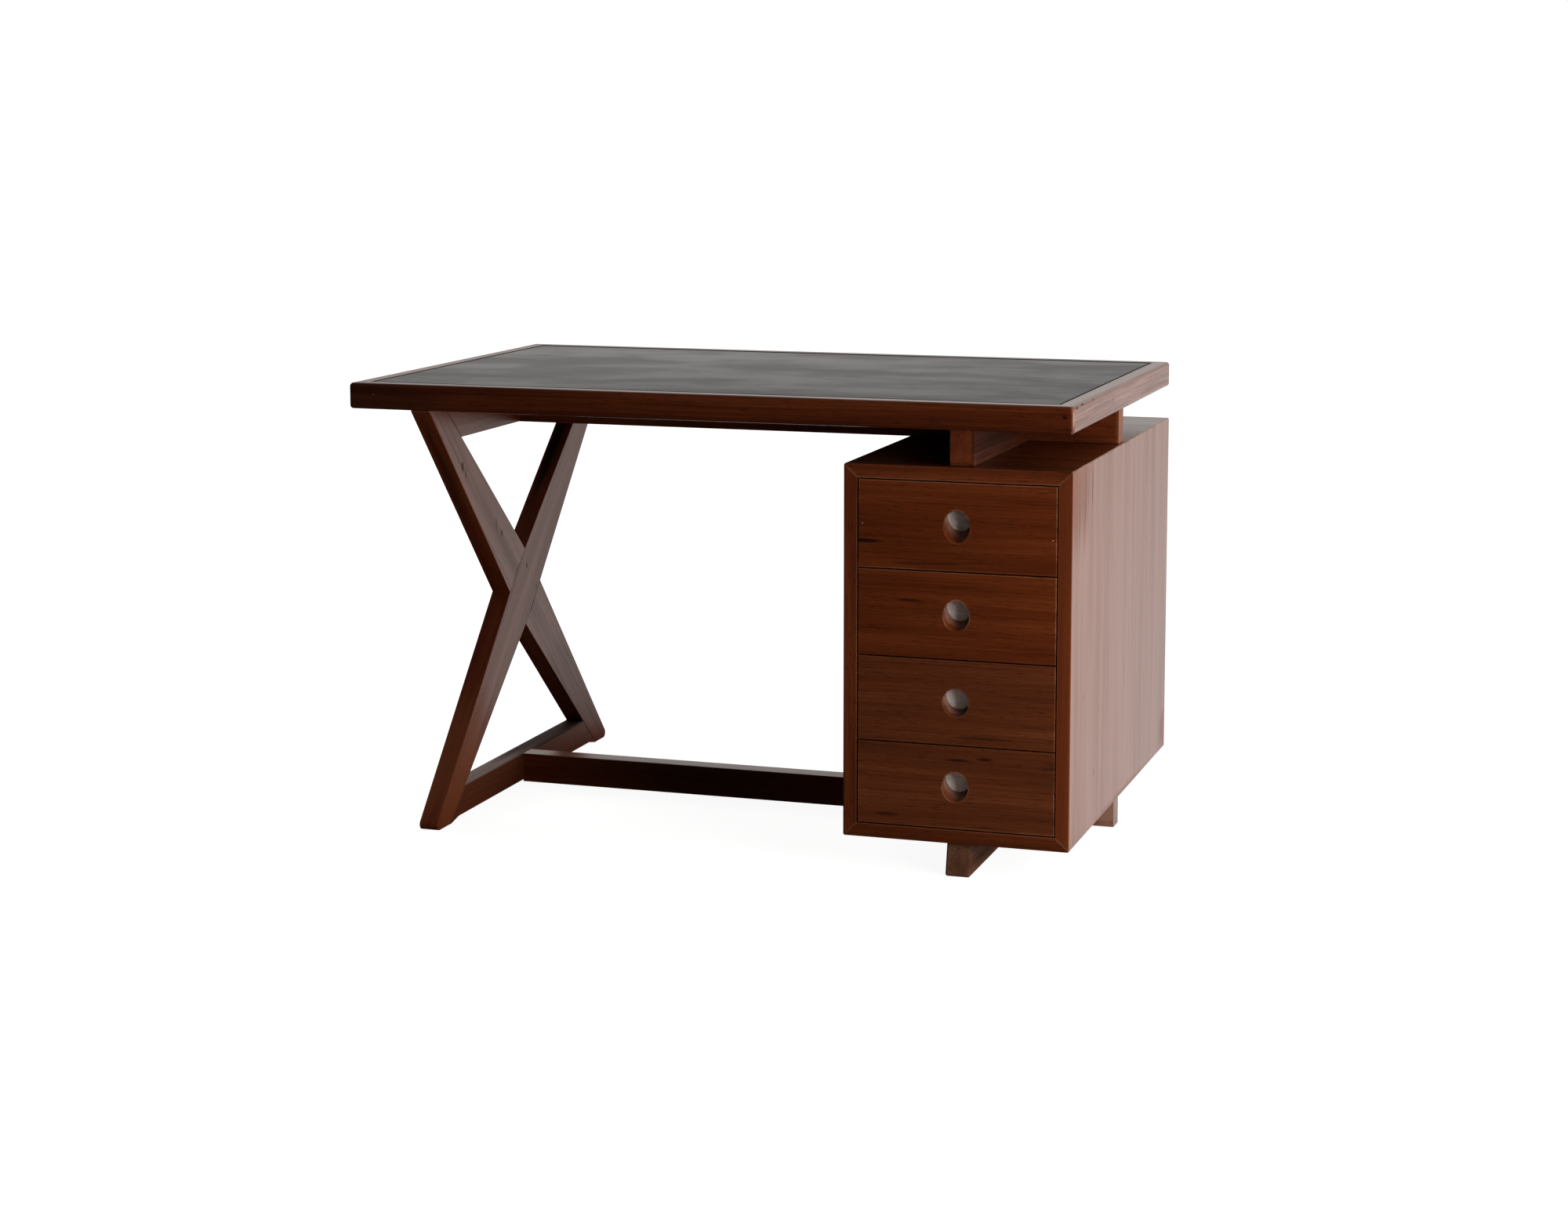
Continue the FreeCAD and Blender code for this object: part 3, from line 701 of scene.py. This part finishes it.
# %% Top, trestle and beams
TRESTLE_FACE = -0.466  # X of the crossed legs' inner side
FRONT_FACE = -0.395
RIGHT_FACE = 0.610
BOARD_STEP = (0.31, 0.17, 0.0)
JOINT = (6 * MM, 48 * MM, 1.7 * MM)
LAP_TURN = 0.782
SHOULDER_TURN = -0.712
LAP_LINES = [
    ((TRESTLE_FACE, -0.0345, 0.3878), JOINT, LAP_TURN, 1.0),
    ((TRESTLE_FACE, 0.0345, 0.3192), JOINT, LAP_TURN, 1.0),
]
FOOT_SHOULDER = ((TRESTLE_FACE, 0.2996, 0.0262), JOINT, SHOULDER_TURN, 0.9)
TOP_SHOULDER = ((TRESTLE_FACE, -0.2970, 0.6785), JOINT, SHOULDER_TURN, 0.5)
# pale brown: wood rubbed bare at a corner, and also painted light on the stretcher's end and the
# bore walls
RUBBED_AND_PAINTED_LIGHT = "#A67F69"
# pale brown: painted light low on the front leg, and the paler end of the spine beam
PALE_BROWN = "#7A4529"
RAIL_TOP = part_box("lower_rail")[1].z
BEARER_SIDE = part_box("top_bearer")[1].x
FOOT_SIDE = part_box("foot_beam")[1].x
SPINE_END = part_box("spine_beam")[1]
# reach of the painted shade on the bearer's side, under the top
SIDE_SHADE_REACH = (8 * MM, 450 * MM, 70 * MM)
# reach of the painted shade on the foot beam's side, under the pedestal
FOOT_SHADE_REACH = (8 * MM, 700 * MM, 70 * MM)
BOARD_MARKS = {
    # node: (middle, reach, turn about X, strength, and a tone if not black) of each mark
    "leg_back_foot": [
        ((TRESTLE_FACE, -0.263, 0.600), (4 * MM, 9 * MM, 14 * MM), 0.0, 0.7),
        ((TRESTLE_FACE, -0.250, 0.585), (4 * MM, 5 * MM, 20 * MM), 0.0, 0.5),
        ((TRESTLE_FACE, -0.102, 0.464), (4 * MM, 7 * MM, 10 * MM), 0.0, 0.7),
        ((TRESTLE_FACE, -0.125, 0.485), (4 * MM, 4 * MM, 22 * MM), 0.0, 0.5),
        *LAP_LINES,
        FOOT_SHOULDER,
        TOP_SHOULDER,
        # painted shade: the leg's front face darkened high up, under the top
        ((-0.486, -0.300, 0.580), (14 * MM, 240 * MM, 240 * MM), 0.0, 0.5),
        # painted shadow: the inner face darkened low at the back, where the pedestal shades it
        ((TRESTLE_FACE, 0.220, 0.120), (6 * MM, 220 * MM, 220 * MM), 0.0, 0.3),
    ],
    "leg_front_foot": [
        ((TRESTLE_FACE, 0.007, 0.390), (4 * MM, 4 * MM, 9 * MM), 0.0, 0.9),
        ((TRESTLE_FACE, 0.049, 0.345), (4 * MM, 4 * MM, 7 * MM), 0.0, 0.9),
        # painted shade: the leg's upper front face made nearly black under the top
        ((-0.486, 0.240, 0.600), (20 * MM, 260 * MM, 260 * MM), 0.0, 0.95),
        # painted light: the leg's lower front and inner faces lit paler near the floor
        ((-0.483, -0.290, 0.100), (120 * MM, 200 * MM, 200 * MM), 0.0, 0.5, PALE_BROWN),
        *LAP_LINES,
    ],
    "lower_rail": [
        FOOT_SHOULDER,
        # painted shade: the rail's top darkened between the legs, which shade it
        ((TRESTLE_FACE, 0.15, RAIL_TOP), (120 * MM, 300 * MM, 7 * MM), 0.0, 0.8),
    ],
    # painted shade: the bearer's side darkened under the top's overhang
    "top_bearer": [((BEARER_SIDE, -0.25, 0.690), SIDE_SHADE_REACH, 0.0, 0.8)],
    "spine_beam": [(SPINE_END, (9 * MM, 150 * MM, 150 * MM), 0.0, 0.6, PALE_BROWN)],
    # painted shade: the foot beam's side darkened under the pedestal
    "foot_beam": [((FOOT_SIDE, 0.05, 0.030), FOOT_SHADE_REACH, 0.0, 0.6)],
    "upper_rail": [
        TOP_SHOULDER,
        # painted shade: the rail darkened high up, under the top
        ((TRESTLE_FACE, 0.0, 0.690), (6 * MM, 400 * MM, 90 * MM), 0.0, 0.2),
    ],
    "stretcher": [
        # painted shade: the stretcher's front darkened under the top
        ((-0.200, -0.018, 0.030), (400 * MM, 8 * MM, 70 * MM), 0.0, 0.5),
        # painted light: the stretcher's front lit pale near its end, under the pedestal
        ((0.590, -0.018, 0.030), (45 * MM, 6 * MM, 45 * MM), 0.0, 0.7, RUBBED_AND_PAINTED_LIGHT),
    ],
    "lipping_front": [
        ((0.5957, FRONT_FACE, 0.7331), (5 * MM, 3 * MM, 4 * MM), 0.0, 0.8),
        # painted shade: the front lipping darker towards its left end, farther from the light
        ((-0.590, FRONT_FACE, 0.7290), (220 * MM, 8 * MM, 60 * MM), 0.0, 0.45),
    ],
    "lipping_right": [
        ((RIGHT_FACE, -0.372, 0.746), (4 * MM, 9 * MM, 3 * MM), 0.0, 0.9),
        ((RIGHT_FACE, -0.330, 0.748), (4 * MM, 14 * MM, 3 * MM), 0.0, 0.8),
        ((RIGHT_FACE, -0.250, 0.748), (4 * MM, 20 * MM, 3 * MM), 0.0, 0.6),
        ((RIGHT_FACE, -0.099, 0.732), (4 * MM, 5 * MM, 6 * MM), 0.0, 0.5),
        ((0.608, -0.393, 0.730), (9 * MM, 9 * MM, 22 * MM), 0.0, 0.9, RUBBED_AND_PAINTED_LIGHT),
    ],
}
DUSTY_ROUGH = (0.55, 0.70)
WORN_SATIN = (0.38, 0.46)
LEG_SATIN = (0.30, 0.36)
CARE = {
    # node: how its finish differs from the other boards'
    "lipping_right": {"sheen": 0.25},
    "leg_back_foot": {"figure": 0.7},
    "leg_front_foot": {"figure": 0.7, "rough": LEG_SATIN},
    "upper_rail": {"figure": 0.6},
    "lower_rail": {"sheen": 0.14, "figure": 0.3, "rough": WORN_SATIN},
    "stretcher": {"figure": 0.6},
    "spine_beam": {"sheen": 0.16},
    "top_bearer": {"rough": WORN_SATIN},
    "foot_beam": {"sheen": 0.10, "rough": DUSTY_ROUGH},
}
BOARDS = {
    # node: (grain, tones)
    "lipping_front": (ALONG_X, TOP_TONES),
    "lipping_back": (ALONG_X, TOP_TONES),
    "lipping_left": (ALONG_Y, TOP_TONES),
    "lipping_right": (ALONG_Y, BEAM_TONES),
    "leg_back_foot": ((0, 0.707, -0.707), TRESTLE_TONES),
    "leg_front_foot": ((0, 0.707, 0.707), TRESTLE_TONES),
    "upper_rail": (ALONG_Y, TRESTLE_TONES),
    "lower_rail": (ALONG_Y, RAIL_TONES),
    "stretcher": (ALONG_X, TRESTLE_TONES),
    "spine_beam": (ALONG_X, BEAM_TONES),
    "top_bearer": (ALONG_Y, BEAM_TONES),
    "foot_beam": (ALONG_Y, DUSTY_TONES),
}
for count, (name, (along, tones)) in enumerate(BOARDS.items()):
    spot = [step * count for step in BOARD_STEP]
    marks = BOARD_MARKS.get(name, ())
    finish = teak("oiled_teak_" + name, along, tones, spot, marks=marks, **CARE.get(name, {}))
    dress(nodes[name], finish)
print("boards:", len(BOARDS))

# %% [markdown]
# ## Pedestal and drawer fronts
# The pedestal's panels are veneered: the sides and back with upright grain, the top and
# bottom with grain from side to side. The right-hand panel has brown stains near its front
# edge and its foot. The drawer fronts are solid boards with long level grain, and each has a
# clear black streak or two. Fingers have rubbed the walls of the bores to bare wood, a pale
# mark behind each front's face that is also painted light on the lit bore walls, and each
# bore has painted shade low down, where its wall is in shadow.

# %% Pedestal and fronts
PANEL_STEP = (0.43, 0.29)
PANEL_DEPTH = 0.11
FRONT_STEP = (0.57, 0.23, 0.07)
STAINED = "#6A3A22"
PANEL_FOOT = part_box("pedestal_right")[0].z
PANEL_MARKS = [
    ((RIGHT_FACE, -0.300, 0.280), (3 * MM, 3 * MM, 6 * MM), 0.0, 0.8),
    ((RIGHT_FACE, -0.216, 0.142), (3 * MM, 4 * MM, 9 * MM), 0.0, 0.5),
    ((RIGHT_FACE, -0.340, 0.630), (4 * MM, 110 * MM, 150 * MM), 0.0, 0.45, STAINED),
    ((RIGHT_FACE, -0.345, 0.585), (4 * MM, 10 * MM, 110 * MM), 0.0, 0.45),
    ((RIGHT_FACE, -0.300, 0.600), (4 * MM, 8 * MM, 80 * MM), 0.0, 0.5),
    ((RIGHT_FACE, -0.250, 0.610), (4 * MM, 7 * MM, 60 * MM), 0.0, 0.4),
    ((RIGHT_FACE, 0.375, 0.090), (4 * MM, 45 * MM, 60 * MM), 0.0, 0.3, STAINED),
    ((RIGHT_FACE, 0.020, PANEL_FOOT), (4 * MM, 330 * MM, 14 * MM), 0.0, 0.3, STAINED),
]
PANELS = {
    # node: (grain, tones, marks, how bold the grain is, sheen)
    "pedestal_left": (ALONG_Z, CASE_TONES, (), 1.1, SHEEN),
    "pedestal_right": (ALONG_Z, FRAME_TONES, PANEL_MARKS, 0.45, 0.29),
    "pedestal_top": (ALONG_X, CASE_TONES, (), 1.1, SHEEN),
    "pedestal_bottom": (ALONG_X, CASE_TONES, (), 1.1, SHEEN),
    "pedestal_back": (ALONG_Z, CASE_TONES, (), 1.1, SHEEN),
}
VENEER_SATIN = (0.27, 0.29)
for count, (name, (along, tones, marks, figure, sheen)) in enumerate(PANELS.items()):
    spot = (*(step * count for step in PANEL_STEP), PANEL_DEPTH)
    finish = teak("veneered_teak_" + name, along, tones, spot, VENEER_SATIN, marks, figure, sheen)
    dress(nodes[name], finish)

FRONT_MARKS = {
    # drawer: its streaks, written as the boards' marks are
    1: [((0.276, FRONT_FACE, 0.529), (40 * MM, 6 * MM, 4.5 * MM), 0.0, 0.95)],
    2: [((0.350, FRONT_FACE, 0.438), (38 * MM, 6 * MM, 4 * MM), 0.0, 0.8)],
    3: [((0.470, FRONT_FACE, 0.225), (70 * MM, 6 * MM, 5 * MM), 0.0, 0.5)],
    4: [
        ((0.430, FRONT_FACE, 0.188), (34 * MM, 6 * MM, 4 * MM), 0.0, 0.85),
        ((0.475, FRONT_FACE, 0.192), (26 * MM, 6 * MM, 4 * MM), 0.0, 0.85),
        ((0.315, FRONT_FACE, 0.094), (30 * MM, 6 * MM, 5 * MM), 0.0, 0.6),
    ],
}
DRAWERS = (1, 2, 3, 4)
# the two lower fronts take greyer tones
GREYER_DRAWERS = (3, 4)
BORE_DEPTH = 20 * MM
BORE_REACH = (60 * MM, 19.5 * MM, 60 * MM)
# painted shade low in each bore, at the lower back of its wall
BORE_SHADE_SPOT = Vector((12 * MM, -5 * MM, -18 * MM))  # from the middle of a bore's back end
BORE_SHADE_REACH = (17 * MM, 13 * MM, 13 * MM)
for count in DRAWERS:
    spot = [step * count for step in FRONT_STEP]
    middle = sum(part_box(f"drawer_{count}_plate"), Vector()) / 2
    middle.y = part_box(f"drawer_{count}_front")[0].y + BORE_DEPTH
    marks = [
        *FRONT_MARKS[count],
        # the bore walls: rubbed bare wood, paler, which also stands for painted light on the lit
        # walls
        (middle, BORE_REACH, 0.0, 0.55, RUBBED_AND_PAINTED_LIGHT),
        # painted shade low in the bore, where its wall is in shadow
        (middle + BORE_SHADE_SPOT, BORE_SHADE_REACH, 0.0, 0.9),
    ]
    tones = LOWER_FRONT_TONES if count in GREYER_DRAWERS else FRONT_TONES
    finish = teak(f"oiled_teak_front_{count}", ALONG_X, tones, spot, SATIN, marks)
    dress(nodes[f"drawer_{count}_front"], finish)
print("panels:", len(PANELS), "fronts:", len(DRAWERS))

# %% [markdown]
# ## Inside woods
# The drawer boxes and runners are plain planed wood, paler and duller because no oil or
# light reaches them. The bottoms are plywood, whose rotary-cut face shows broad wavy
# figure. The top's core is blockboard, glued from strips.

# %% Inside woods
BARE_TONES = ("#4A2E1B", "#7A5233", "#8C6240", "#9C724D", "#A98260")
PLY_TONES = ("#5A3A22", "#8A6240", "#98704C", "#A67F59", "#A98260")
CORE_TONES = ("#43291A", "#6E4A30", "#7F583A", "#906746", "#A98260")
BARE_ROUGH = (0.62, 0.78)
bare_wood = teak("planed_drawer_wood", ALONG_Y, BARE_TONES, rough=BARE_ROUGH)
bare_cross = teak("planed_drawer_wood_crosswise", ALONG_X, BARE_TONES, rough=BARE_ROUGH)
plywood = teak("rotary_cut_plywood", ALONG_X, PLY_TONES, rough=BARE_ROUGH)
blockboard = teak("glued_blockboard", ALONG_X, CORE_TONES, rough=BARE_ROUGH)
for name, piece in nodes.items():
    if name.endswith("_bottom") and name.startswith("drawer"):
        dress(piece, plywood)
    elif name.endswith("_back") and name.startswith("drawer"):
        dress(piece, bare_cross)
    elif name.startswith(("runner", "drawer")) and name.endswith(("_left", "_right")):
        dress(piece, bare_wood)
dress(nodes["top_panel"], blockboard)
print("inside woods: 4 finishes")

# %% [markdown]
# ## Finger plates
# A thin plate of zinc-coated steel closes each finger bore at the back. Zinc dulls to a
# mottled grey with faint crystals a few millimetres across. The plates are painted near
# white, painted light for the light that reaches into the bores, and paler still on the lower
# drawers, the top one lying in the shade of the desk top.

# %% Finger plates
CRYSTAL = 5 * MM
BLOTCH = 9 * MM
BLOTCH_CUT = (0.35, 0.65)
FLECK_CUT = (0.45, 0.75)
FLECK_SHARE = 0.3
PITTED = 0.3
PIT_DEPTH = 0.2 * MM
DUST_CUT = (0.3, 0.7)
ZINC_ROUGH = (0.42, 0.62)
BARE_METAL = 0.1
# painted light: near-white plates, paler down the drawers, the top one in the shade of the desk top
PLATES = {
    # drawer: (deep tone, pale tone, tone of the crystals' rims)
    1: ("#C6BEB8", "#E8E1DB", "#9C958F"),
    2: ("#DED6D0", "#F4EDE7", "#B0A8A2"),
    3: ("#F8F2ED", "#FFFAF6", "#D8D0CA"),
    4: ("#FAF4EF", "#FFFCF9", "#D8D0CA"),
}

for count, (deep, pale, seam) in PLATES.items():
    zinc = bpy.data.materials.new(f"dulled_zinc_plate_with_painted_light_{count}")
    tree = empty_tree(zinc)
    place = add(tree, "ShaderNodeTexCoord").outputs["Object"]
    crystals = add(tree, "ShaderNodeTexVoronoi", None, {"Vector": place, "Scale": 1 / CRYSTAL})
    blotches = add(
        tree, "ShaderNodeTexNoise", None, {"Vector": place, "Scale": 1 / BLOTCH, "Detail": 4.0}
    )
    patches = add(
        tree,
        "ShaderNodeMapRange",
        EASED,
        {0: blotches.outputs["Fac"], 1: BLOTCH_CUT[0], 2: BLOTCH_CUT[1]},
    )
    grey = add(
        tree,
        "ShaderNodeMix",
        COLOURS,
        {0: patches.outputs[0], 6: tint(deep), 7: tint(pale)},
    )
    flecks = add(
        tree,
        "ShaderNodeMapRange",
        EASED,
        {
            0: crystals.outputs["Distance"],
            1: FLECK_CUT[0],
            2: FLECK_CUT[1],
            3: 0.0,
            4: FLECK_SHARE,
        },
    )
    flecked = add(
        tree,
        "ShaderNodeMix",
        COLOURS,
        {0: flecks.outputs[0], 6: grey.outputs[2], 7: tint(seam)},
    )
    bump = add(
        tree,
        "ShaderNodeBump",
        None,
        {"Height": blotches.outputs["Fac"], "Strength": PITTED, "Distance": PIT_DEPTH},
    )
    dusty = add(
        tree,
        "ShaderNodeMapRange",
        EASED,
        {
            0: blotches.outputs["Fac"],
            1: DUST_CUT[0],
            2: DUST_CUT[1],
            3: ZINC_ROUGH[0],
            4: ZINC_ROUGH[1],
        },
    )
    skin = add(
        tree,
        "ShaderNodeBsdfPrincipled",
        None,
        {
            "Base Color": flecked.outputs[2],
            "Metallic": BARE_METAL,
            "Roughness": dusty.outputs[0],
            "Normal": bump.outputs[0],
        },
    )
    add(tree, "ShaderNodeOutputMaterial", None, {"Surface": skin.outputs[0]})
    dress(nodes[f"drawer_{count}_plate"], zinc)
print("finger plates:", len(PLATES))

# %% [markdown]
# ## Leather
# The writing surface is one hide, dyed black and glued down inside the lippings. The sheet
# is a fine grid with a slight waviness, given its thickness by Solidify and a soft rim by
# Bevel. It replaces the frame's plain slab.

# %% Leather sheet
LEATHER_CELL = 12 * MM
LEATHER_WAVE = 0.12 * MM
WAVE_SIZE = Vector((260 * MM, 90 * MM, 1.0))
RIM = 0.6 * MM
RIM_STEPS = 2

low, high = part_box("leather_top")
flat = (high.x - low.x, high.y - low.y)
mesh = bmesh.new()
bmesh.ops.create_grid(
    mesh,
    x_segments=round(flat[0] / LEATHER_CELL),
    y_segments=round(flat[1] / LEATHER_CELL),
    size=0.5,
)
bmesh.ops.scale(mesh, vec=(flat[0], flat[1], 1.0), verts=mesh.verts)
for vert in mesh.verts:
    wave = noise.noise(Vector((vert.co.x / WAVE_SIZE.x, vert.co.y / WAVE_SIZE.y, 0.0)))
    vert.co.z = high.z - LEATHER_WAVE * (1 + wave) / 2
leather_mesh = bpy.data.meshes.new("leather_sheet")
mesh.to_mesh(leather_mesh)
mesh.free()
leather = bpy.data.objects.new("leather_sheet", leather_mesh)
scene.collection.objects.link(leather)
thicken = leather.modifiers.new("thickness", "SOLIDIFY")
thicken.thickness = high.z - low.z - LEATHER_WAVE
thicken.offset = -1.0
soften = leather.modifiers.new("rim", "BEVEL")
soften.width = RIM
soften.segments = RIM_STEPS
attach(leather, "desk")
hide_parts("leather_top")
print("leather:", round(flat[0], 4), "x", round(flat[1], 4), "m")

# %% [markdown]
# ## Leather finish
# Years of use have polished the hide in places, so at a low angle it shows grey clouds drawn
# out from side to side, where the arms move. It is smoother towards the left and the back,
# where the light is mirrored most. Fine scratches cross it, and it is darker along its rim.

# %% Leather finish
HIDE_TONES = ("#1B1B1B", "#2C2C2C")
SCUFF = "#3E3D3C"
DARK_RIM_TONE = "#0C0B0B"
POLISH_CUT = (0.3, 0.7)
SCRATCH_CUT = (0.64, 0.76)
SCRATCH_SHARE = 0.5
DARK_RIM_CUT = (1.0, 0.5)
DARK_RIM_DULLS = 0.5
HIDE_ROUGH = (0.485, 0.39)
HIDE_SHEEN = 0.335
PEBBLED = 0.15
PEBBLE_DEPTH = 0.15 * MM
CLOUD = (260 * MM, 150 * MM, 150 * MM)
SCRATCH = (70 * MM, 2.5 * MM, 2.5 * MM)  # real ones are hairlines, too fine to show
SCRATCH_TURN = 0.5
BORDER = (6 * MM, 15 * MM, 1.0)
PEBBLE = 2.4 * MM  # hide grain is about a third of this, too fine to show
LESS_USED = (0.06, -0.07, 0.0)  # roughness gained with each metre to the right and the back

hide = bpy.data.materials.new("dyed_leather_hide")
tree = empty_tree(hide)
place = add(tree, "ShaderNodeTexCoord").outputs["Object"]
drawn_out = add(tree, "ShaderNodeVectorMath", {"operation": "DIVIDE"}, {0: place, 1: CLOUD})
clouds = add(
    tree,
    "ShaderNodeTexNoise",
    None,
    {"Vector": drawn_out.outputs[0], "Scale": 1.0, "Detail": 5.0, "Roughness": 0.6},
)
pebbles = add(
    tree,
    "ShaderNodeTexVoronoi",
    {"feature": "SMOOTH_F1"},
    {"Vector": place, "Scale": 1 / PEBBLE},
)
polish = add(
    tree,
    "ShaderNodeMapRange",
    EASED,
    {0: clouds.outputs["Fac"], 1: POLISH_CUT[0], 2: POLISH_CUT[1]},
)
black = add(
    tree,
    "ShaderNodeMix",
    COLOURS,
    {0: polish.outputs[0], 6: tint(HIDE_TONES[0]), 7: tint(HIDE_TONES[1])},
)
swept = add(
    tree,
    "ShaderNodeMapping",
    {"vector_type": "TEXTURE"},
    {"Vector": place, "Rotation": (0, 0, SCRATCH_TURN), "Scale": SCRATCH},
)
hairlines = add(
    tree, "ShaderNodeTexNoise", None, {"Vector": swept.outputs[0], "Scale": 1.0, "Detail": 2.0}
)
scratches = add(
    tree,
    "ShaderNodeMapRange",
    EASED,
    {
        0: hairlines.outputs["Fac"],
        1: SCRATCH_CUT[0],
        2: SCRATCH_CUT[1],
        3: 0.0,
        4: SCRATCH_SHARE,
    },
)
scuffed = add(
    tree,
    "ShaderNodeMix",
    COLOURS,
    {0: scratches.outputs[0], 6: black.outputs[2], 7: tint(SCUFF)},
)
from_middle = add(tree, "ShaderNodeVectorMath", {"operation": "ABSOLUTE"}, {0: place})
to_rim = add(
    tree,
    "ShaderNodeVectorMath",
    {"operation": "SUBTRACT"},
    {0: (flat[0] / 2, flat[1] / 2, 1.0), 1: from_middle.outputs[0]},
)
borders = add(
    tree, "ShaderNodeVectorMath", {"operation": "DIVIDE"}, {0: to_rim.outputs[0], 1: BORDER}
)
rims = add(tree, "ShaderNodeSeparateXYZ", None, {0: borders.outputs[0]})
nearest = add(
    tree, "ShaderNodeMath", {"operation": "MINIMUM"}, {0: rims.outputs["X"], 1: rims.outputs["Y"]}
)
darker_rim = add(
    tree, "ShaderNodeMapRange", EASED, {0: nearest.outputs[0], 1: DARK_RIM_CUT[0], 2: DARK_RIM_CUT[1]}
)
rimmed = add(
    tree,
    "ShaderNodeMix",
    COLOURS,
    {0: darker_rim.outputs[0], 6: scuffed.outputs[2], 7: tint(DARK_RIM_TONE)},
)
dull = add(
    tree,
    "ShaderNodeMapRange",
    EASED,
    {0: polish.outputs[0], 1: 0.0, 2: 1.0, 3: HIDE_ROUGH[0], 4: HIDE_ROUGH[1]},
)
across = add(tree, "ShaderNodeVectorMath", {"operation": "DOT_PRODUCT"}, {0: place, 1: LESS_USED})
uneven = add(
    tree,
    "ShaderNodeMath",
    {"operation": "ADD"},
    {0: dull.outputs[0], 1: across.outputs["Value"]},
)
matt = add(
    tree,
    "ShaderNodeMath",
    {"operation": "MULTIPLY_ADD"},
    {0: darker_rim.outputs[0], 1: DARK_RIM_DULLS, 2: uneven.outputs[0]},
)
bump = add(
    tree,
    "ShaderNodeBump",
    None,
    {"Height": pebbles.outputs["Distance"], "Strength": PEBBLED, "Distance": PEBBLE_DEPTH},
)
skin = add(
    tree,
    "ShaderNodeBsdfPrincipled",
    None,
    {
        "Base Color": rimmed.outputs[2],
        "Roughness": matt.outputs[0],
        "Normal": bump.outputs[0],
        "Specular IOR Level": HIDE_SHEEN,
    },
)
add(tree, "ShaderNodeOutputMaterial", None, {"Surface": skin.outputs[0]})
dress(leather, hide)
print("leather finish:", len(tree.nodes), "nodes")

# %% [markdown]
# ## Nails and pegs
# The frame leaves out small fasteners. Each nail head and peg is one half profile spun
# about its own axis: a shank end sunk in the wood, a rounded rim and a face that is nearly
# flush. It is then turned onto the board's face. The heads of one board are one piece.

# %% Fasteners
SUNK = 1.5 * MM
PROUD = 0.06 * MM
HEAD_RIM = 0.12  # share of the radius
HEAD_SIDES = 20
WELD = 0.01 * MM
NAIL = 2.6 * MM


def heads(name, body, finish, places):
    """One piece of round heads, each with a middle, a face direction and a diameter."""
    mesh = bmesh.new()
    for middle, facing, across in places:
        radius = across / 2
        rim = radius * HEAD_RIM
        profile = [(0, -SUNK), (radius, -SUNK), (radius, -rim), (radius - rim, 0), (0, PROUD)]
        verts = [mesh.verts.new((out, 0, up)) for out, up in profile]
        edges = [mesh.edges.new(pair) for pair in zip(verts, verts[1:])]
        bmesh.ops.spin(
            mesh,
            geom=verts + edges,
            cent=(0, 0, 0),
            axis=(0, 0, 1),
            angle=2 * pi,
            steps=HEAD_SIDES,
            use_merge=True,
        )
        made = {v for v in mesh.verts if not v.tag}
        turn = Vector(facing).to_track_quat("Z", "Y").to_matrix().to_4x4()
        bmesh.ops.transform(mesh, matrix=Matrix.Translation(middle) @ turn, verts=list(made))
        for vert in made:
            vert.tag = True
    bmesh.ops.remove_doubles(mesh, verts=mesh.verts, dist=WELD)
    bmesh.ops.recalc_face_normals(mesh, faces=mesh.faces)
    made_mesh = bpy.data.meshes.new(name)
    mesh.to_mesh(made_mesh)
    mesh.free()
    piece = bpy.data.objects.new(name, made_mesh)
    scene.collection.objects.link(piece)
    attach(piece, body)
    dress(piece, finish)
    print(name, len(places), "heads,", len(made_mesh.polygons), "faces")


FRONT = (0, -1, 0)
RIGHT = (1, 0, 0)
LEG_FRONT = (0, -0.74, -0.68)
PEG_TONES = ("#120602", "#2C1208", "#43200F", "#583019", "#6A4631")
PALE_PEG_TONES = ("#3A2418", "#6A4A38", "#8C6A54", "#A4836C", "#B49580")
peg_wood = teak("end_grain_teak_pegs", ALONG_Y, PEG_TONES, (0.2, 0.4, 0.1))
filler = teak("pale_wood_filler", ALONG_X, PALE_PEG_TONES, rough=BARE_ROUGH)
heads(
    "drawer_1_nails",
    "drawer_1",
    filler,
    [((0.2747, FRONT_FACE, 0.5566), FRONT, NAIL), ((0.5795, FRONT_FACE, 0.5425), FRONT, NAIL)],
)
heads(
    "lipping_nail",
    "desk",
    filler,
    [((-0.5654, FRONT_FACE, 0.7320), FRONT, 2.2 * MM)],
)
heads(
    "trestle_pegs",
    "desk",
    peg_wood,
    [
        ((-0.483, -0.3485, 0.6584), LEG_FRONT, 8.5 * MM),
        ((TRESTLE_FACE, -0.0397, 0.3496), RIGHT, 5.5 * MM),
        ((TRESTLE_FACE, -0.2930, 0.6680), RIGHT, 3.0 * MM),
        ((TRESTLE_FACE, -0.2800, 0.6560), RIGHT, 3.0 * MM),
    ],
)
